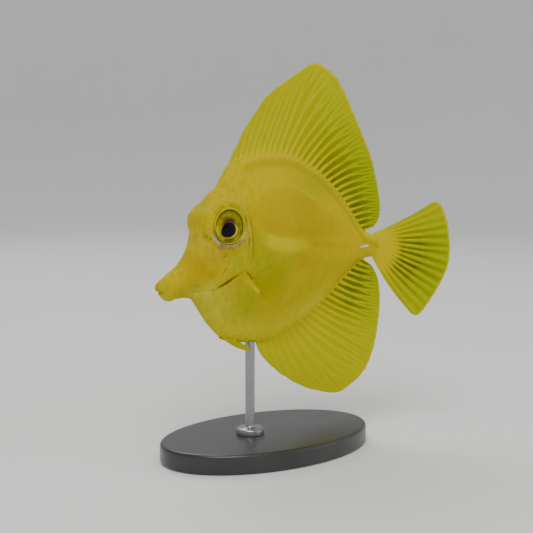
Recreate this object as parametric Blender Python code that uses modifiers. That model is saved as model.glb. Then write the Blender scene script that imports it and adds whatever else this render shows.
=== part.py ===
"""A yellow tang, life size, swimming, held by a plain display stand.

The fish is modelled in its own straight frame: along runs from the snout back, across is
its right side, up is its height above the level of the body's middle. Its sizes are in
millimetres. Every fish piece is then laid along the curve that the body takes in its turn,
and lifted onto the stand. The head is toward -X and the fish's left side toward -Y.
"""
import math

import bmesh
import bpy
from mathutils import Matrix, Vector

MM = 0.001
GAP = 0.3

# How finely curves are read, and how far past the fish the cutters reach.
CURVE_SPLITS = 16
STATION_TRIES = 1200
EDGE_POINTS = 120
ROOT_POINTS = 80
CORNER_LIMIT = 0.5
FRONT = -40.0
REAR = 45.0
CUT_REACH = 9.0

# The stand, and how high it holds the fish.
BODY_LIFT = 43.0
BASE_LENGTH = 54.0
BASE_WIDTH = 34.0
BASE_HEIGHT = 4.5
BASE_EDGE = 0.8
BASE_SIDES = 48
ROD_ALONG = -4.7
ROD_RADIUS = 1.1
ROD_FOOT_RADIUS = 3.2
ROD_FOOT_HEIGHT = 1.2
ROD_SIDES = 16
ROD_EDGE = 0.2
ROD_FILLET = 0.6
FOOT_EDGE = 0.3

# The turn of the body: straight to TURN_START, then an arc, then straight again.
TURN_START = 8.0
TURN_LENGTH = 28.0
TURN_ANGLE = math.radians(26.0)

# Outlines of the body from the side, (along, up).
BACK_LINE = [(-29.2, -2.9), (-28.8, -2.1), (-27.9, -1.1), (-26.3, 0.0), (-24.3, 1.4),
             (-22.6, 3.0), (-21.2, 4.9), (-20.3, 7.2), (-19.8, 9.6), (-18.9, 12.0),
             (-17.4, 14.4), (-15.5, 16.8), (-13.6, 19.0), (-11.7, 21.4), (-9.7, 23.6),
             (-6.6, 25.1), (-3.3, 25.8), (0.0, 26.2), (3.3, 26.2), (6.7, 25.7),
             (9.0, 24.9), (11.8, 23.6), (14.5, 22.0), (16.7, 20.2), (19.1, 18.0),
             (21.7, 15.0), (23.6, 12.4), (25.4, 9.7), (26.9, 7.8), (28.4, 6.9),
             (30.4, 6.6), (33.0, 6.6)]
BELLY_LINE = [(-29.2, -3.3), (-28.5, -4.2), (-27.7, -5.3), (-26.2, -5.9), (-24.5, -5.6),
              (-22.6, -5.5), (-20.6, -5.9), (-19.0, -8.0), (-16.2, -12.0),
              (-12.8, -14.8), (-9.4, -16.3), (-6.5, -17.0), (-3.3, -17.3), (0.0, -16.9),
              (3.8, -15.8), (8.3, -14.0), (12.4, -11.8), (16.1, -9.2), (19.4, -6.3),
              (22.1, -3.7), (24.8, -1.0), (27.0, 0.5), (28.6, 0.9), (33.0, 0.8)]

# Half the body's thickness, and the height at which it is thickest.
HALF_WIDTH = [(-29.2, 0.7), (-28.5, 1.2), (-27.0, 1.6), (-25.0, 1.9), (-23.0, 2.3),
              (-21.0, 2.9), (-19.0, 3.7), (-16.0, 4.3), (-12.0, 4.7), (-7.0, 5.1),
              (-2.0, 5.3), (4.0, 5.1), (10.0, 4.4), (16.0, 3.5), (21.0, 2.6),
              (25.0, 2.0), (28.0, 1.5), (33.0, 1.0)]
THICKEST = [(-29.2, -3.2), (-25.0, -2.4), (-22.0, 0.0), (-19.5, 5.0), (-16.0, 7.5),
            (-9.0, 6.0), (2.0, 5.0), (14.0, 4.5), (24.0, 3.9), (33.0, 3.7)]

# How full a section is between its thickest line and its edge: 0.5 is round.
FULLNESS = [(-29.2, 0.50), (-24.0, 0.50), (-19.0, 0.55), (-12.0, 0.65), (0.0, 0.75),
            (24.0, 0.70), (33.0, 0.60)]
BODY_STEP = 1.45
SECTION_STEPS = 15
SNOUT_STEP = 0.9
SNOUT_END = -24.0
EDGE_FADE = 1.6

# Lines that part the head, jaw and gill covers from the rest, (along, up).
GILL_LINE = [(-12.7, 27.0), (-10.4, 19.0), (-8.4, 13.0), (-7.4, 7.0), (-7.6, 2.5),
             (-9.0, -0.4), (-12.0, -1.9), (-15.0, -3.6), (-18.0, -4.9), (-20.6, -5.9),
             (-24.0, -9.5)]
CHEEK_LINE = [(-8.75, 12.0), (-8.7, 8.6), (-9.4, 5.5), (-11.4, 3.6), (-13.0, 1.4),
              (-14.4, -0.8), (-15.7, -2.9)]
GILL_COVER_TOP = (-8.35, 12.6)
MOUTH_LINE = [(-32.0, -3.7), (-28.6, -3.75), (-27.2, -3.8), (-26.4, -4.2), (-24.8, -4.9),
              (-23.0, -5.3), (-22.2, -8.0)]
STALK_LINE = [(24.4, 14.0), (24.9, 4.0), (24.4, -4.0)]
GILL_POINTS = 40
CHEEK_POINTS = 14
MOUTH_POINTS = 22
STALK_POINTS = 8
GILL_COVER_FRONT = -15.6
GILL_COVER_HIGH = 12.2
GILL_COVER_DEPTH = 2.6
GILL_COVER_RISE = 0.25

# The eyes and their rims.
EYE_ALONG = -13.4
EYE_UP = 10.0
EYE_ACROSS = 3.75
EYE_RADIUS = 3.45
EYE_DEPTH = 1.9
EYE_RINGS = 9
EYE_FORWARD = math.radians(3.0)
EYE_UPWARD = math.radians(3.0)
RIM_RADIUS = 3.85
RIM_THICK = 0.38
RIM_OUT = 0.95
RIM_SIDES = 22
RIM_ROUND = 6
RIM_BULGE = 1.3
ORBIT_RISE = 0.95
ORBIT_SPREAD = 5.3
ORBIT_STEEP = 5

# The lips: each a rounded roll of skin along the mouth's line.
LIP_THICK = 0.3
LIP_SIDES = 6
LIP_CORNER = 0.6
UPPER_LIP = [(-27.0, -3.35), (-27.9, -3.3), (-28.7, -3.25), (-29.1, -3.2)]
LOWER_LIP = [(-26.9, -4.35), (-27.5, -4.3), (-28.0, -4.25), (-28.3, -4.2)]
LIP_TIPS = (-29.0, -28.35)

# The nostrils, two on each side ahead of the eye.
NOSTRILS = [(-18.9, 7.4, 0.32), (-17.9, 7.0, 0.24)]
NOSTRIL_DEPTH = 0.9
NOSTRIL_SIDES = 10

# The folding blade on each side of the tail stalk.
BLADE_ALONG = 26.6
BLADE_UP = 3.8
BLADE_LENGTH = 2.6
BLADE_HEIGHT = 0.9
BLADE_THICK = 0.8
BLADE_TURN = math.radians(-7.0)
BLADE_RINGS = 7

# Fins, outlines as (along, up) and rays as (share of the root, share of the outline).
DORSAL_ROOT = (-9.2, 27.4)
DORSAL_EDGE = [(-9.5, 24.1), (-7.9, 27.6), (-6.2, 30.9), (-2.4, 35.9), (1.0, 39.6),
               (8.0, 43.9), (12.5, 46.5), (14.6, 46.8), (16.9, 45.9), (19.3, 43.9),
               (23.2, 37.8), (26.5, 31.4), (29.2, 24.3), (30.9, 17.0), (31.4, 12.7),
               (31.0, 10.1), (29.9, 8.4), (28.7, 7.6)]
DORSAL_FAN = [(0.0, 0.03), (0.18, 0.33), (0.41, 0.47), (0.50, 0.60), (0.67, 0.78),
              (0.85, 0.88), (1.0, 0.985)]
DORSAL_BOW = [(0.0, 0.0), (0.3, -0.4), (0.7, -0.5), (1.0, 0.0)]
DORSAL_RAYS = 30
DORSAL_SPINES = 5
ANAL_ROOT = (-2.9, 27.0)
ANAL_EDGE = [(-2.9, -17.9), (-2.2, -19.2), (-0.6, -21.5), (4.4, -25.8), (11.3, -29.7),
             (18.2, -31.8), (20.4, -31.9), (22.4, -31.3), (25.6, -29.2), (28.1, -25.9),
             (30.1, -20.6), (31.3, -14.0), (31.6, -8.5), (31.1, -4.7), (30.1, -2.3),
             (28.6, -0.2)]
ANAL_FAN = [(0.0, 0.03), (0.22, 0.26), (0.41, 0.49), (0.54, 0.64), (0.665, 0.78),
            (0.80, 0.87), (1.0, 0.985)]
ANAL_BOW = [(0.0, 0.2), (0.3, 0.5), (0.7, 0.5), (1.0, 0.0)]
ANAL_RAYS = 23
ANAL_SPINES = 3
TAIL_ROOT = [(29.9, 6.7), (31.3, 5.7), (31.9, 3.7), (31.2, 1.8), (29.3, 0.6)]
TAIL_ROOT_ENDS = [(28.4, 9.5), (27.6, -2.0)]
TAIL_ROOT_POINTS = 20
TAIL_EDGE = [(44.9, 14.1), (45.9, 14.1), (47.2, 13.0), (48.6, 9.4), (49.3, 4.9),
             (49.4, 1.0), (48.7, -2.6), (46.3, -7.4), (42.6, -12.4), (41.2, -13.4),
             (40.2, -13.4)]
TAIL_FAN = [(0.0, 0.0), (1.0, 1.0)]
TAIL_BOW = [(0.0, 0.45), (0.3, 0.0), (0.7, 0.0), (1.0, 0.45)]
TAIL_RAYS = 16
FIN_ROWS = 7
RAY_ROOT_HALF = 0.50
RAY_TIP_HALF = 0.27
WEB_HALF = 0.25
WEB_NOTCH = 0.012
SPINE_NOTCH = 0.036

# Paired fins: the root from its upper to its lower end, then how the rays leave it.
PECTORAL_ROOT = [(-8.0, -0.9), (-5.6, -5.0)]
PECTORAL_LIFT = [math.radians(20.0), math.radians(-14.0)]
PECTORAL_LENGTH = [14.0, 7.5]
PECTORAL_RAYS = 14
PECTORAL_OUT = math.radians(15.0)
PECTORAL_CLEAR = 0.35
PECTORAL_TAPER = 0.8
PECTORAL_ROUND = 0.12
PELVIC_ROOT = (-13.4, -9.6)
PELVIC_TIPS = [(-6.7, -19.1), (-7.3, -17.9)]
PELVIC_BOW = 0.4
PELVIC_DROP = 0.1
PELVIC_RAYS = 6
PELVIC_ROOT_OUT = 0.75
PELVIC_TIP_OUT = 2.1
PAIRED_ROWS = 5
PAIRED_ROOT_HALF = 0.42
PAIRED_NOTCH = 0.03

BODY_YELLOW = (0.70, 0.53, 0.02, 1.0)
HEAD_YELLOW = (0.74, 0.55, 0.02, 1.0)
FIN_YELLOW = (0.62, 0.58, 0.03, 1.0)
SPINE_WHITE = (0.86, 0.86, 0.80, 1.0)
EYE_DARK = (0.20, 0.16, 0.03, 1.0)
BASE_GREY = (0.05, 0.05, 0.055, 1.0)
ROD_GREY = (0.55, 0.55, 0.56, 1.0)


def clear_scene():
    for old in list(bpy.data.objects):
        bpy.data.objects.remove(old, do_unlink=True)


def material(name, colour, roughness, metallic=0.0):
    made = bpy.data.materials.new(name)
    made.use_nodes = True
    shader = made.node_tree.nodes["Principled BSDF"]
    shader.inputs["Base Color"].default_value = colour
    shader.inputs["Roughness"].default_value = roughness
    shader.inputs["Metallic"].default_value = metallic
    return made


def smooth(keys):
    """A smooth function through the keys that stays between them."""
    xs = [key[0] for key in keys]
    ys = [key[1] for key in keys]
    steps = [(ys[i + 1] - ys[i]) / (xs[i + 1] - xs[i]) for i in range(len(xs) - 1)]
    slopes = [steps[0]]
    for before, after in zip(steps, steps[1:]):
        level = before * after <= 0.0
        slopes.append(0.0 if level else 2.0 * before * after / (before + after))
    slopes.append(steps[-1])

    def value(x):
        x = min(max(x, xs[0]), xs[-1])
        i = 0
        while i < len(xs) - 2 and x > xs[i + 1]:
            i += 1
        span = xs[i + 1] - xs[i]
        f = (x - xs[i]) / span
        rest = 1.0 - f
        start = ys[i] * (1.0 + 2.0 * f) + slopes[i] * span * f
        end = ys[i + 1] * (1.0 + 2.0 * rest) - slopes[i + 1] * span * rest
        return start * rest * rest + end * f * f

    return value


def curve_points(keys, count):
    """Points at even spacing along a smooth curve through the keys."""
    dense = []
    last = len(keys) - 1
    for i in range(last):
        a = Vector(keys[max(i - 1, 0)])
        b = Vector(keys[i])
        c = Vector(keys[i + 1])
        d = Vector(keys[min(i + 2, last)])
        for k in range(CURVE_SPLITS):
            f = k / CURVE_SPLITS
            bend = (2.0 * a - 5.0 * b + 4.0 * c - d) * f * f
            turn = (3.0 * (b - c) + d - a) * f * f * f
            dense.append(b + 0.5 * ((c - a) * f + bend + turn))
    dense.append(Vector(keys[-1]))
    runs = [0.0]
    for a, b in zip(dense, dense[1:]):
        runs.append(runs[-1] + (b - a).length)
    points = []
    i = 0
    for k in range(count):
        run = runs[-1] * k / (count - 1)
        while i < len(runs) - 2 and runs[i + 1] < run:
            i += 1
        f = (run - runs[i]) / (runs[i + 1] - runs[i])
        points.append(dense[i].lerp(dense[i + 1], min(f, 1.0)))
    return points


def point_at(points, share):
    """The point at a share of the length of evenly spaced points."""
    place = min(max(share, 0.0), 1.0) * (len(points) - 1)
    i = min(int(place), len(points) - 2)
    return points[i].lerp(points[i + 1], place - i)


back = smooth(BACK_LINE)
belly = smooth(BELLY_LINE)
half_width = smooth(HALF_WIDTH)
thickest = smooth(THICKEST)
fullness = smooth(FULLNESS)


def in_turn(along, across, up):
    """The place of a point of the straight fish once its body is curved."""
    radius = TURN_LENGTH / TURN_ANGLE
    run = min(max(along - TURN_START, 0.0), TURN_LENGTH)
    angle = run / radius
    beyond = max(along - TURN_START - TURN_LENGTH, 0.0)
    x = min(along, TURN_START) + radius * math.sin(angle) + beyond * math.cos(angle)
    y = -radius * (1.0 - math.cos(angle)) - beyond * math.sin(angle)
    return Vector((x + across * math.sin(angle), y + across * math.cos(angle), up))


def orbit(along, up):
    """The swelling of the head round the eye."""
    far = math.hypot(along - EYE_ALONG, up - EYE_UP) / ORBIT_SPREAD
    return ORBIT_RISE * math.exp(-(far ** ORBIT_STEEP))


def surface(along, up, rise=0.0):
    """Half the body's thickness at a point of its side."""
    middle = thickest(along)
    edge = back(along) if up > middle else belly(along)
    share = min(abs((up - middle) / (edge - middle)), 1.0)
    return half_width(along) * (1.0 - share * share) ** fullness(along) + rise


def body_section(along, rise):
    """One section of the body, from the back down the left side and up the right."""
    middle = thickest(along)
    left = []
    for k in range(SECTION_STEPS + 1):
        turn = math.pi * k / SECTION_STEPS
        reach = math.cos(turn)
        up = middle + reach * ((back(along) - middle) if reach > 0 else (middle - belly(along)))
        wide = math.sin(turn)
        out = half_width(along) * wide ** (2.0 * fullness(along))
        out += (orbit(along, up) + rise) * min(wide * EDGE_FADE, 1.0)
        left.append((out, up))
    ring = [Vector((along, -out, up)) for out, up in left]
    ring += [Vector((along, out, up)) for out, up in left[-2:0:-1]]
    return ring


def stations():
    """Places of the sections, spaced evenly along the line of the back."""
    first = BACK_LINE[0][0]
    last = BACK_LINE[-1][0]
    places = [first]
    run = 0.0
    before = Vector((first, back(first)))
    for k in range(1, STATION_TRIES):
        along = first + (last - first) * k / STATION_TRIES
        after = Vector((along, back(along)))
        run += (after - before).length
        before = after
        if run >= (SNOUT_STEP if along < SNOUT_END else BODY_STEP):
            places.append(along)
            run = 0.0
    return places + [last]


def new_object(name, mesh, group, surface_material=None):
    made = bpy.data.objects.new(name, mesh)
    if surface_material:
        mesh.materials.append(surface_material)
    group.objects.link(made)
    return made


def mesh_object(name, points, faces, group, surface_material=None):
    mesh = bpy.data.meshes.new(name)
    mesh.from_pydata([tuple(p) for p in points], [], faces)
    work = bmesh.new()
    work.from_mesh(mesh)
    bmesh.ops.recalc_face_normals(work, faces=work.faces)
    work.to_mesh(mesh)
    work.free()
    return new_object(name, mesh, group, surface_material)


def body_loft(name, rise, group):
    """The whole body as one closed loft of its sections."""
    rings = [body_section(place, rise) for place in stations()]
    count = len(rings[0])
    points = [p for ring in rings for p in ring]
    faces = [tuple(range(count))]
    for r in range(len(rings) - 1):
        for k in range(count):
            n = (k + 1) % count
            a = r * count
            b = a + count
            faces.append((a + k, a + n, b + n, b + k))
    faces.append(tuple((len(rings) - 1) * count + k for k in range(count)))
    return mesh_object(name, points, faces, group)


def line_prism(name, line, corners, near, far, group):
    """A cutter: a flat outline seen from the side, drawn across the fish."""
    outline = [Vector(p) for p in line] + [Vector(p) for p in corners]
    count = len(outline)
    points = [Vector((p[0], near, p[1])) for p in outline]
    points += [Vector((p[0], far, p[1])) for p in outline]
    faces = [tuple(range(count)), tuple(range(count, 2 * count))]
    for k in range(count):
        n = (k + 1) % count
        faces.append((k, n, count + n, count + k))
    made = mesh_object(name, points, faces, group)
    made.hide_render = True
    made.display_type = "WIRE"
    return made


def beside(points, distance):
    """A line moved sideways by a distance, to its right seen from the left side."""
    moved = []
    for k, point in enumerate(points):
        way = points[min(k + 1, len(points) - 1)] - points[max(k - 1, 0)]
        way.normalize()
        moved.append(point + Vector((-way[1], way[0])) * distance)
    return moved


def grown(outline, distance):
    """A closed outline moved outwards by a distance."""
    count = len(outline)
    area = sum(outline[k - 1].x * outline[k].y - outline[k].x * outline[k - 1].y
               for k in range(count))
    sign = 1.0 if area > 0 else -1.0
    moved = []
    for k, point in enumerate(outline):
        before = (point - outline[k - 1]).normalized()
        after = (outline[(k + 1) % count] - point).normalized()
        way = Vector((before.y + after.y, -before.x - after.x)).normalized()
        reach = distance / max(way.dot(Vector((before.y, -before.x))), CORNER_LIMIT)
        moved.append(point + way * sign * reach)
    return moved


def bake(piece):
    """Apply a piece's modifiers to its mesh."""
    graph = bpy.context.evaluated_depsgraph_get()
    mesh = bpy.data.meshes.new_from_object(piece.evaluated_get(graph))
    piece.modifiers.clear()
    piece.data = mesh


def keep_largest(piece):
    """Keep only the largest closed surface of a piece."""
    work = bmesh.new()
    work.from_mesh(piece.data)
    left = set(work.faces)
    shells = []
    while left:
        shell = [left.pop()]
        for face in shell:
            for edge in face.edges:
                for other in edge.link_faces:
                    if other in left:
                        left.remove(other)
                        shell.append(other)
        shells.append(shell)
    shells.sort(key=lambda shell: sum(face.calc_area() for face in shell))
    for shell in shells[:-1]:
        bmesh.ops.delete(work, geom=shell, context="FACES")
    work.to_mesh(piece.data)
    work.free()


def join_or_cut(piece, operation, cutters, group):
    """One Boolean of a piece with a collection of closed meshes, then remove them."""
    tools = bpy.data.collections.new("tools")
    for cutter in cutters:
        tools.objects.link(cutter)
    step = piece.modifiers.new(operation, "BOOLEAN")
    step.operation = operation
    step.operand_type = "COLLECTION"
    step.collection = tools
    step.solver = "EXACT"
    bpy.context.view_layer.update()
    bake(piece)
    keep_largest(piece)
    for cutter in cutters:
        bpy.data.objects.remove(cutter, do_unlink=True)
    bpy.data.collections.remove(tools)


def eye_frame(side):
    """Where an eye sits and how it is turned: side is -1 for left and 1 for right."""
    place = Matrix.Translation((EYE_ALONG, side * EYE_ACROSS, EYE_UP))
    forward = Matrix.Rotation(side * EYE_FORWARD, 4, "Z")
    upward = Matrix.Rotation(side * EYE_UPWARD, 4, "X")
    return place @ forward @ upward


def ball(name, frame, radii, group, rings=EYE_RINGS):
    mesh = bpy.data.meshes.new(name)
    work = bmesh.new()
    bmesh.ops.create_uvsphere(work, u_segments=2 * rings, v_segments=rings, radius=1.0)
    shape = frame @ Matrix.Diagonal((*radii, 1.0)) @ Matrix.Rotation(math.pi / 2, 4, "X")
    bmesh.ops.transform(work, matrix=shape, verts=work.verts)
    bmesh.ops.recalc_face_normals(work, faces=work.faces)
    work.to_mesh(mesh)
    work.free()
    return new_object(name, mesh, group)


def rod_piece(name, frame, radius, length, sides, group):
    """A closed cylinder along the frame's own Y axis."""
    mesh = bpy.data.meshes.new(name)
    work = bmesh.new()
    bmesh.ops.create_cone(work, cap_ends=True, segments=sides, radius1=radius,
                          radius2=radius, depth=length)
    bmesh.ops.transform(work, matrix=frame @ Matrix.Rotation(math.pi / 2, 4, "X"),
                        verts=work.verts)
    bmesh.ops.recalc_face_normals(work, faces=work.faces)
    work.to_mesh(mesh)
    work.free()
    return new_object(name, mesh, group)


def eye_rim(side, group):
    """The raised ring of skin round an eye."""
    points = []
    faces = []
    frame = eye_frame(side) @ Matrix.Translation((0.0, side * RIM_OUT, 0.0))
    around = RIM_SIDES
    tube = RIM_ROUND
    for k in range(around):
        turn = 2.0 * math.pi * k / around
        for n in range(tube):
            roll = 2.0 * math.pi * n / tube
            reach = RIM_RADIUS + RIM_THICK * math.cos(roll)
            out = RIM_THICK * RIM_BULGE * math.sin(roll)
            spot = Vector((reach * math.cos(turn), out, reach * math.sin(turn)))
            points.append(frame @ spot)
            a = k * tube
            b = ((k + 1) % around) * tube
            m = (n + 1) % tube
            faces.append((a + n, a + m, b + m, b + n))
    return mesh_object("rim", points, faces, group)


def lip(keys, tip, group):
    """A roll of skin from one corner of the mouth round its front to the other."""
    half = [Vector((along, surface(along, up), up)) for along, up in keys]
    path = half + [Vector((tip, 0.0, keys[-1][1]))]
    path += [Vector((p.x, -p.y, p.z)) for p in half[::-1]]
    points = []
    faces = []
    sides = LIP_SIDES
    last = len(path) - 1
    for k, spot in enumerate(path):
        way = (path[min(k + 1, last)] - path[max(k - 1, 0)]).normalized()
        out = way.cross(Vector((0.0, 0.0, 1.0))).normalized()
        thick = LIP_THICK * (LIP_CORNER if k in (0, last) else 1.0)
        for n in range(sides):
            roll = 2.0 * math.pi * n / sides
            points.append(spot + out * thick * math.cos(roll)
                          + Vector((0.0, 0.0, thick * math.sin(roll))))
            if k < last:
                a = k * sides
                m = (n + 1) % sides
                faces.append((a + n, a + m, a + sides + m, a + sides + n))
    faces.append(tuple(range(sides)))
    faces.append(tuple(last * sides + n for n in range(sides)))
    return mesh_object("lip", points, faces, group)


def head_pieces(group, yellow):
    """The head with its sockets and nostrils, the lower jaw and the two gill covers."""
    gill = curve_points(GILL_LINE, GILL_POINTS)
    mouth = curve_points(MOUTH_LINE, MOUTH_POINTS)
    cheek = curve_points(CHEEK_LINE, CHEEK_POINTS)
    ahead = [(FRONT, GILL_LINE[-1][1]), (FRONT, GILL_LINE[0][1])]
    jaw_below = [(MOUTH_LINE[0][0], MOUTH_LINE[-1][1])]
    head = body_loft("head", 0.0, group)
    keep = line_prism("keep", gill, ahead, -CUT_REACH, CUT_REACH, group)
    join_or_cut(head, "INTERSECT", [keep], group)
    jaw = new_object("lower_jaw", head.data.copy(), group)
    keep = line_prism("keep", mouth, jaw_below, -CUT_REACH, CUT_REACH, group)
    join_or_cut(jaw, "INTERSECT", [keep], group)
    join_or_cut(jaw, "UNION", [lip(LOWER_LIP, LIP_TIPS[1], group)], group)
    covers = []
    rear = [p for p in gill if p[0] > GILL_COVER_FRONT and p[1] < GILL_COVER_HIGH]
    outline = [Vector(GILL_COVER_TOP)] + rear + cheek[::-1]
    for side, name in ((-1, "gill_cover_left"), (1, "gill_cover_right")):
        cover = body_loft(name, GILL_COVER_RISE, group)
        keep = line_prism("keep", outline, [], side * GILL_COVER_DEPTH, side * CUT_REACH, group)
        join_or_cut(cover, "INTERSECT", [keep], group)
        covers.append(cover)
    rolls = [eye_rim(side, group) for side in (-1, 1)]
    rolls.append(lip(UPPER_LIP, LIP_TIPS[0], group))
    join_or_cut(head, "UNION", rolls, group)
    cutters = []
    wide = beside(mouth, GAP)
    cutters.append(line_prism("cut", wide, jaw_below, -CUT_REACH, CUT_REACH, group))
    recess = grown(outline, GAP)
    for side in (-1, 1):
        cutters.append(line_prism("cut", recess, [], side * (GILL_COVER_DEPTH - GAP),
                                  side * CUT_REACH, group))
        radii = (EYE_RADIUS + GAP, EYE_DEPTH + GAP, EYE_RADIUS + GAP)
        cutters.append(ball("cut", eye_frame(side), radii, group))
        for along, up, radius in NOSTRILS:
            out = surface(along, up, orbit(along, up))
            frame = Matrix.Translation((along, side * out, up))
            cutters.append(rod_piece("cut", frame, radius, 2.0 * NOSTRIL_DEPTH,
                                     NOSTRIL_SIDES, group))
    join_or_cut(head, "DIFFERENCE", cutters, group)
    for piece in [head, jaw] + covers:
        piece.data.materials.clear()
        piece.data.materials.append(yellow)
    return [head, jaw] + covers


def trunk_pieces(group, yellow):
    """The trunk behind the gill openings, and the tail stalk with a groove each side."""
    gill = beside(curve_points(GILL_LINE, GILL_POINTS), GAP)
    stalk = curve_points(STALK_LINE, STALK_POINTS)
    ahead = [(FRONT, GILL_LINE[-1][1]), (FRONT, GILL_LINE[0][1])]
    astern = [(REAR, STALK_LINE[-1][1]), (REAR, STALK_LINE[0][1])]
    trunk = body_loft("trunk", 0.0, group)
    front = line_prism("cut", gill, ahead, -CUT_REACH, CUT_REACH, group)
    rear = line_prism("cut", stalk, astern, -CUT_REACH, CUT_REACH, group)
    join_or_cut(trunk, "DIFFERENCE", [front, rear], group)
    tail = body_loft("tail_stalk", 0.0, group)
    behind = line_prism("keep", beside(stalk, GAP), astern, -CUT_REACH, CUT_REACH, group)
    join_or_cut(tail, "INTERSECT", [behind], group)
    top, bottom = TAIL_ROOT_ENDS
    root = beside(curve_points([top] + TAIL_ROOT + [bottom], TAIL_ROOT_POINTS), -GAP)
    cutters = [blade("cut", side, GAP, group) for side in (-1, 1)]
    cutters.append(line_prism("cut", root, [(REAR, bottom[1]), (REAR, top[1])], -CUT_REACH,
                              CUT_REACH, group))
    join_or_cut(tail, "DIFFERENCE", cutters, group)
    for piece in (trunk, tail):
        piece.data.materials.clear()
        piece.data.materials.append(yellow)
    return [trunk, tail]


def blade(name, side, spare, group, surface_material=None):
    """The white folding blade, lying in its groove with its point forward."""
    out = surface(BLADE_ALONG, BLADE_UP)
    frame = Matrix.Translation((BLADE_ALONG, side * out, BLADE_UP))
    frame = frame @ Matrix.Rotation(side * BLADE_TURN, 4, "Z")
    radii = (BLADE_LENGTH / 2 + spare, BLADE_THICK / 2 + spare, BLADE_HEIGHT / 2 + spare)
    made = ball(name, frame, radii, group, BLADE_RINGS)
    if surface_material:
        made.data.materials.append(surface_material)
    return made


def ray_panel(name, centre, half, columns, rows, normal, group, surface_material):
    """A fin as one closed sheet whose two faces are raised along each ray.

    centre gives the middle of the sheet and half its half thickness, both by column and
    row. Both faces are split into triangles alike.
    """
    points = []
    for side in (-1, 1):
        for c in range(columns):
            for r in range(rows + 1):
                points.append(centre(c, r) + normal(c, r) * side * half(c, r))
    layer = columns * (rows + 1)

    def at(side, c, r):
        return side * layer + c * (rows + 1) + r

    faces = []
    for c in range(columns - 1):
        for r in range(rows):
            for side in (0, 1):
                a, b = at(side, c, r), at(side, c + 1, r)
                d, e = at(side, c, r + 1), at(side, c + 1, r + 1)
                faces += [(a, b, e), (a, e, d)]
    border = [(c, 0) for c in range(columns)]
    border += [(columns - 1, r) for r in range(1, rows + 1)]
    border += [(c, rows) for c in range(columns - 2, -1, -1)]
    border += [(0, r) for r in range(rows - 1, 0, -1)]
    for (c, r), (d, s) in zip(border, border[1:] + border[:1]):
        faces += [(at(0, c, r), at(0, d, s), at(1, d, s))]
        faces += [(at(0, c, r), at(1, d, s), at(1, c, r))]
    return mesh_object(name, points, faces, group, surface_material)


def ray_half(c, r, rows, root_half=RAY_ROOT_HALF):
    """Half the thickness: high on a ray, low on the web between two rays."""
    share = r / rows
    if c % 2 == 0:
        return root_half + (RAY_TIP_HALF - root_half) * share
    return WEB_HALF


def median_fin(name, roots, edge_keys, fan_keys, bow_keys, rays, spines, group, yellow):
    """A fin on the middle line: rays from points of its root to points of its outline."""
    columns = 2 * rays - 1
    edge = curve_points(edge_keys, EDGE_POINTS)
    fan = smooth(fan_keys)
    bow = smooth(bow_keys)

    def centre(c, r):
        share = c / (columns - 1)
        start = point_at(roots, share)
        end = point_at(edge, fan(share))
        notch = SPINE_NOTCH if c < 2 * spines else WEB_NOTCH
        notch *= c % 2
        run = r / FIN_ROWS * (1.0 - notch)
        way = (end - start).normalized()
        spot = start.lerp(end, run)
        spot += Vector((way.y, -way.x)) * bow(share) * math.sin(math.pi * min(run, 1.0))
        return Vector((spot[0], 0.0, spot[1]))

    def half(c, r):
        return ray_half(c, r, FIN_ROWS)

    return ray_panel(name, centre, half, columns, FIN_ROWS, lambda c, r: Vector((0, 1, 0)),
                     group, yellow)


def root_points(line, span, gap):
    """Points just off the line of the back or belly, along a span of it."""
    points = []
    for k in range(ROOT_POINTS):
        along = span[0] + (span[1] - span[0]) * k / (ROOT_POINTS - 1)
        points.append((along, line(along) + gap))
    return curve_points(points, ROOT_POINTS)


def paired_fin(name, side, root, tips, bow, rays, rows, group, yellow):
    """A side fin: root and tips give, for a share across it, a point and a move."""
    columns = 2 * rays - 1

    def centre(c, r):
        share = c / (columns - 1)
        move = tips(share) * (1.0 - PAIRED_NOTCH * (c % 2))
        spot = root(share) + move * (r / rows)
        spot.z -= bow * (1.0 - share) * math.sin(math.pi * r / rows)
        return Vector((spot[0], side * spot[1], spot[2]))

    def half(c, r):
        return ray_half(c, r, rows, PAIRED_ROOT_HALF)

    def normal(c, r):
        move = tips(0.5)
        lean = Vector((-move[1], move[0], 0.0)).normalized()
        return Vector((lean[0], side * lean[1], 0.0))

    return ray_panel(name, centre, half, columns, rows, normal, group, yellow)


def pectoral_root(share):
    spot = Vector(PECTORAL_ROOT[0]).lerp(Vector(PECTORAL_ROOT[1]), share)
    return Vector((spot[0], surface(spot[0], spot[1]) + GAP + PECTORAL_CLEAR, spot[1]))


def pectoral_move(share):
    lift = PECTORAL_LIFT[0] + (PECTORAL_LIFT[1] - PECTORAL_LIFT[0]) * share
    length = PECTORAL_LENGTH[1] - PECTORAL_LENGTH[0]
    length = PECTORAL_LENGTH[0] + length * share ** PECTORAL_TAPER
    length *= 1.0 - PECTORAL_ROUND * (1.0 - share) ** 6
    level = length * math.cos(PECTORAL_OUT)
    return Vector((level * math.cos(lift), length * math.sin(PECTORAL_OUT),
                   level * math.sin(lift)))


def pelvic_root(share):
    along = PELVIC_ROOT[0] + (PELVIC_ROOT[1] - PELVIC_ROOT[0]) * share
    return Vector((along, PELVIC_ROOT_OUT, belly(along) - GAP - PELVIC_DROP))


def pelvic_move(share):
    end = Vector(PELVIC_TIPS[0]).lerp(Vector(PELVIC_TIPS[1]), share)
    return Vector((end[0], PELVIC_TIP_OUT, end[1])) - pelvic_root(share)


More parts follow.
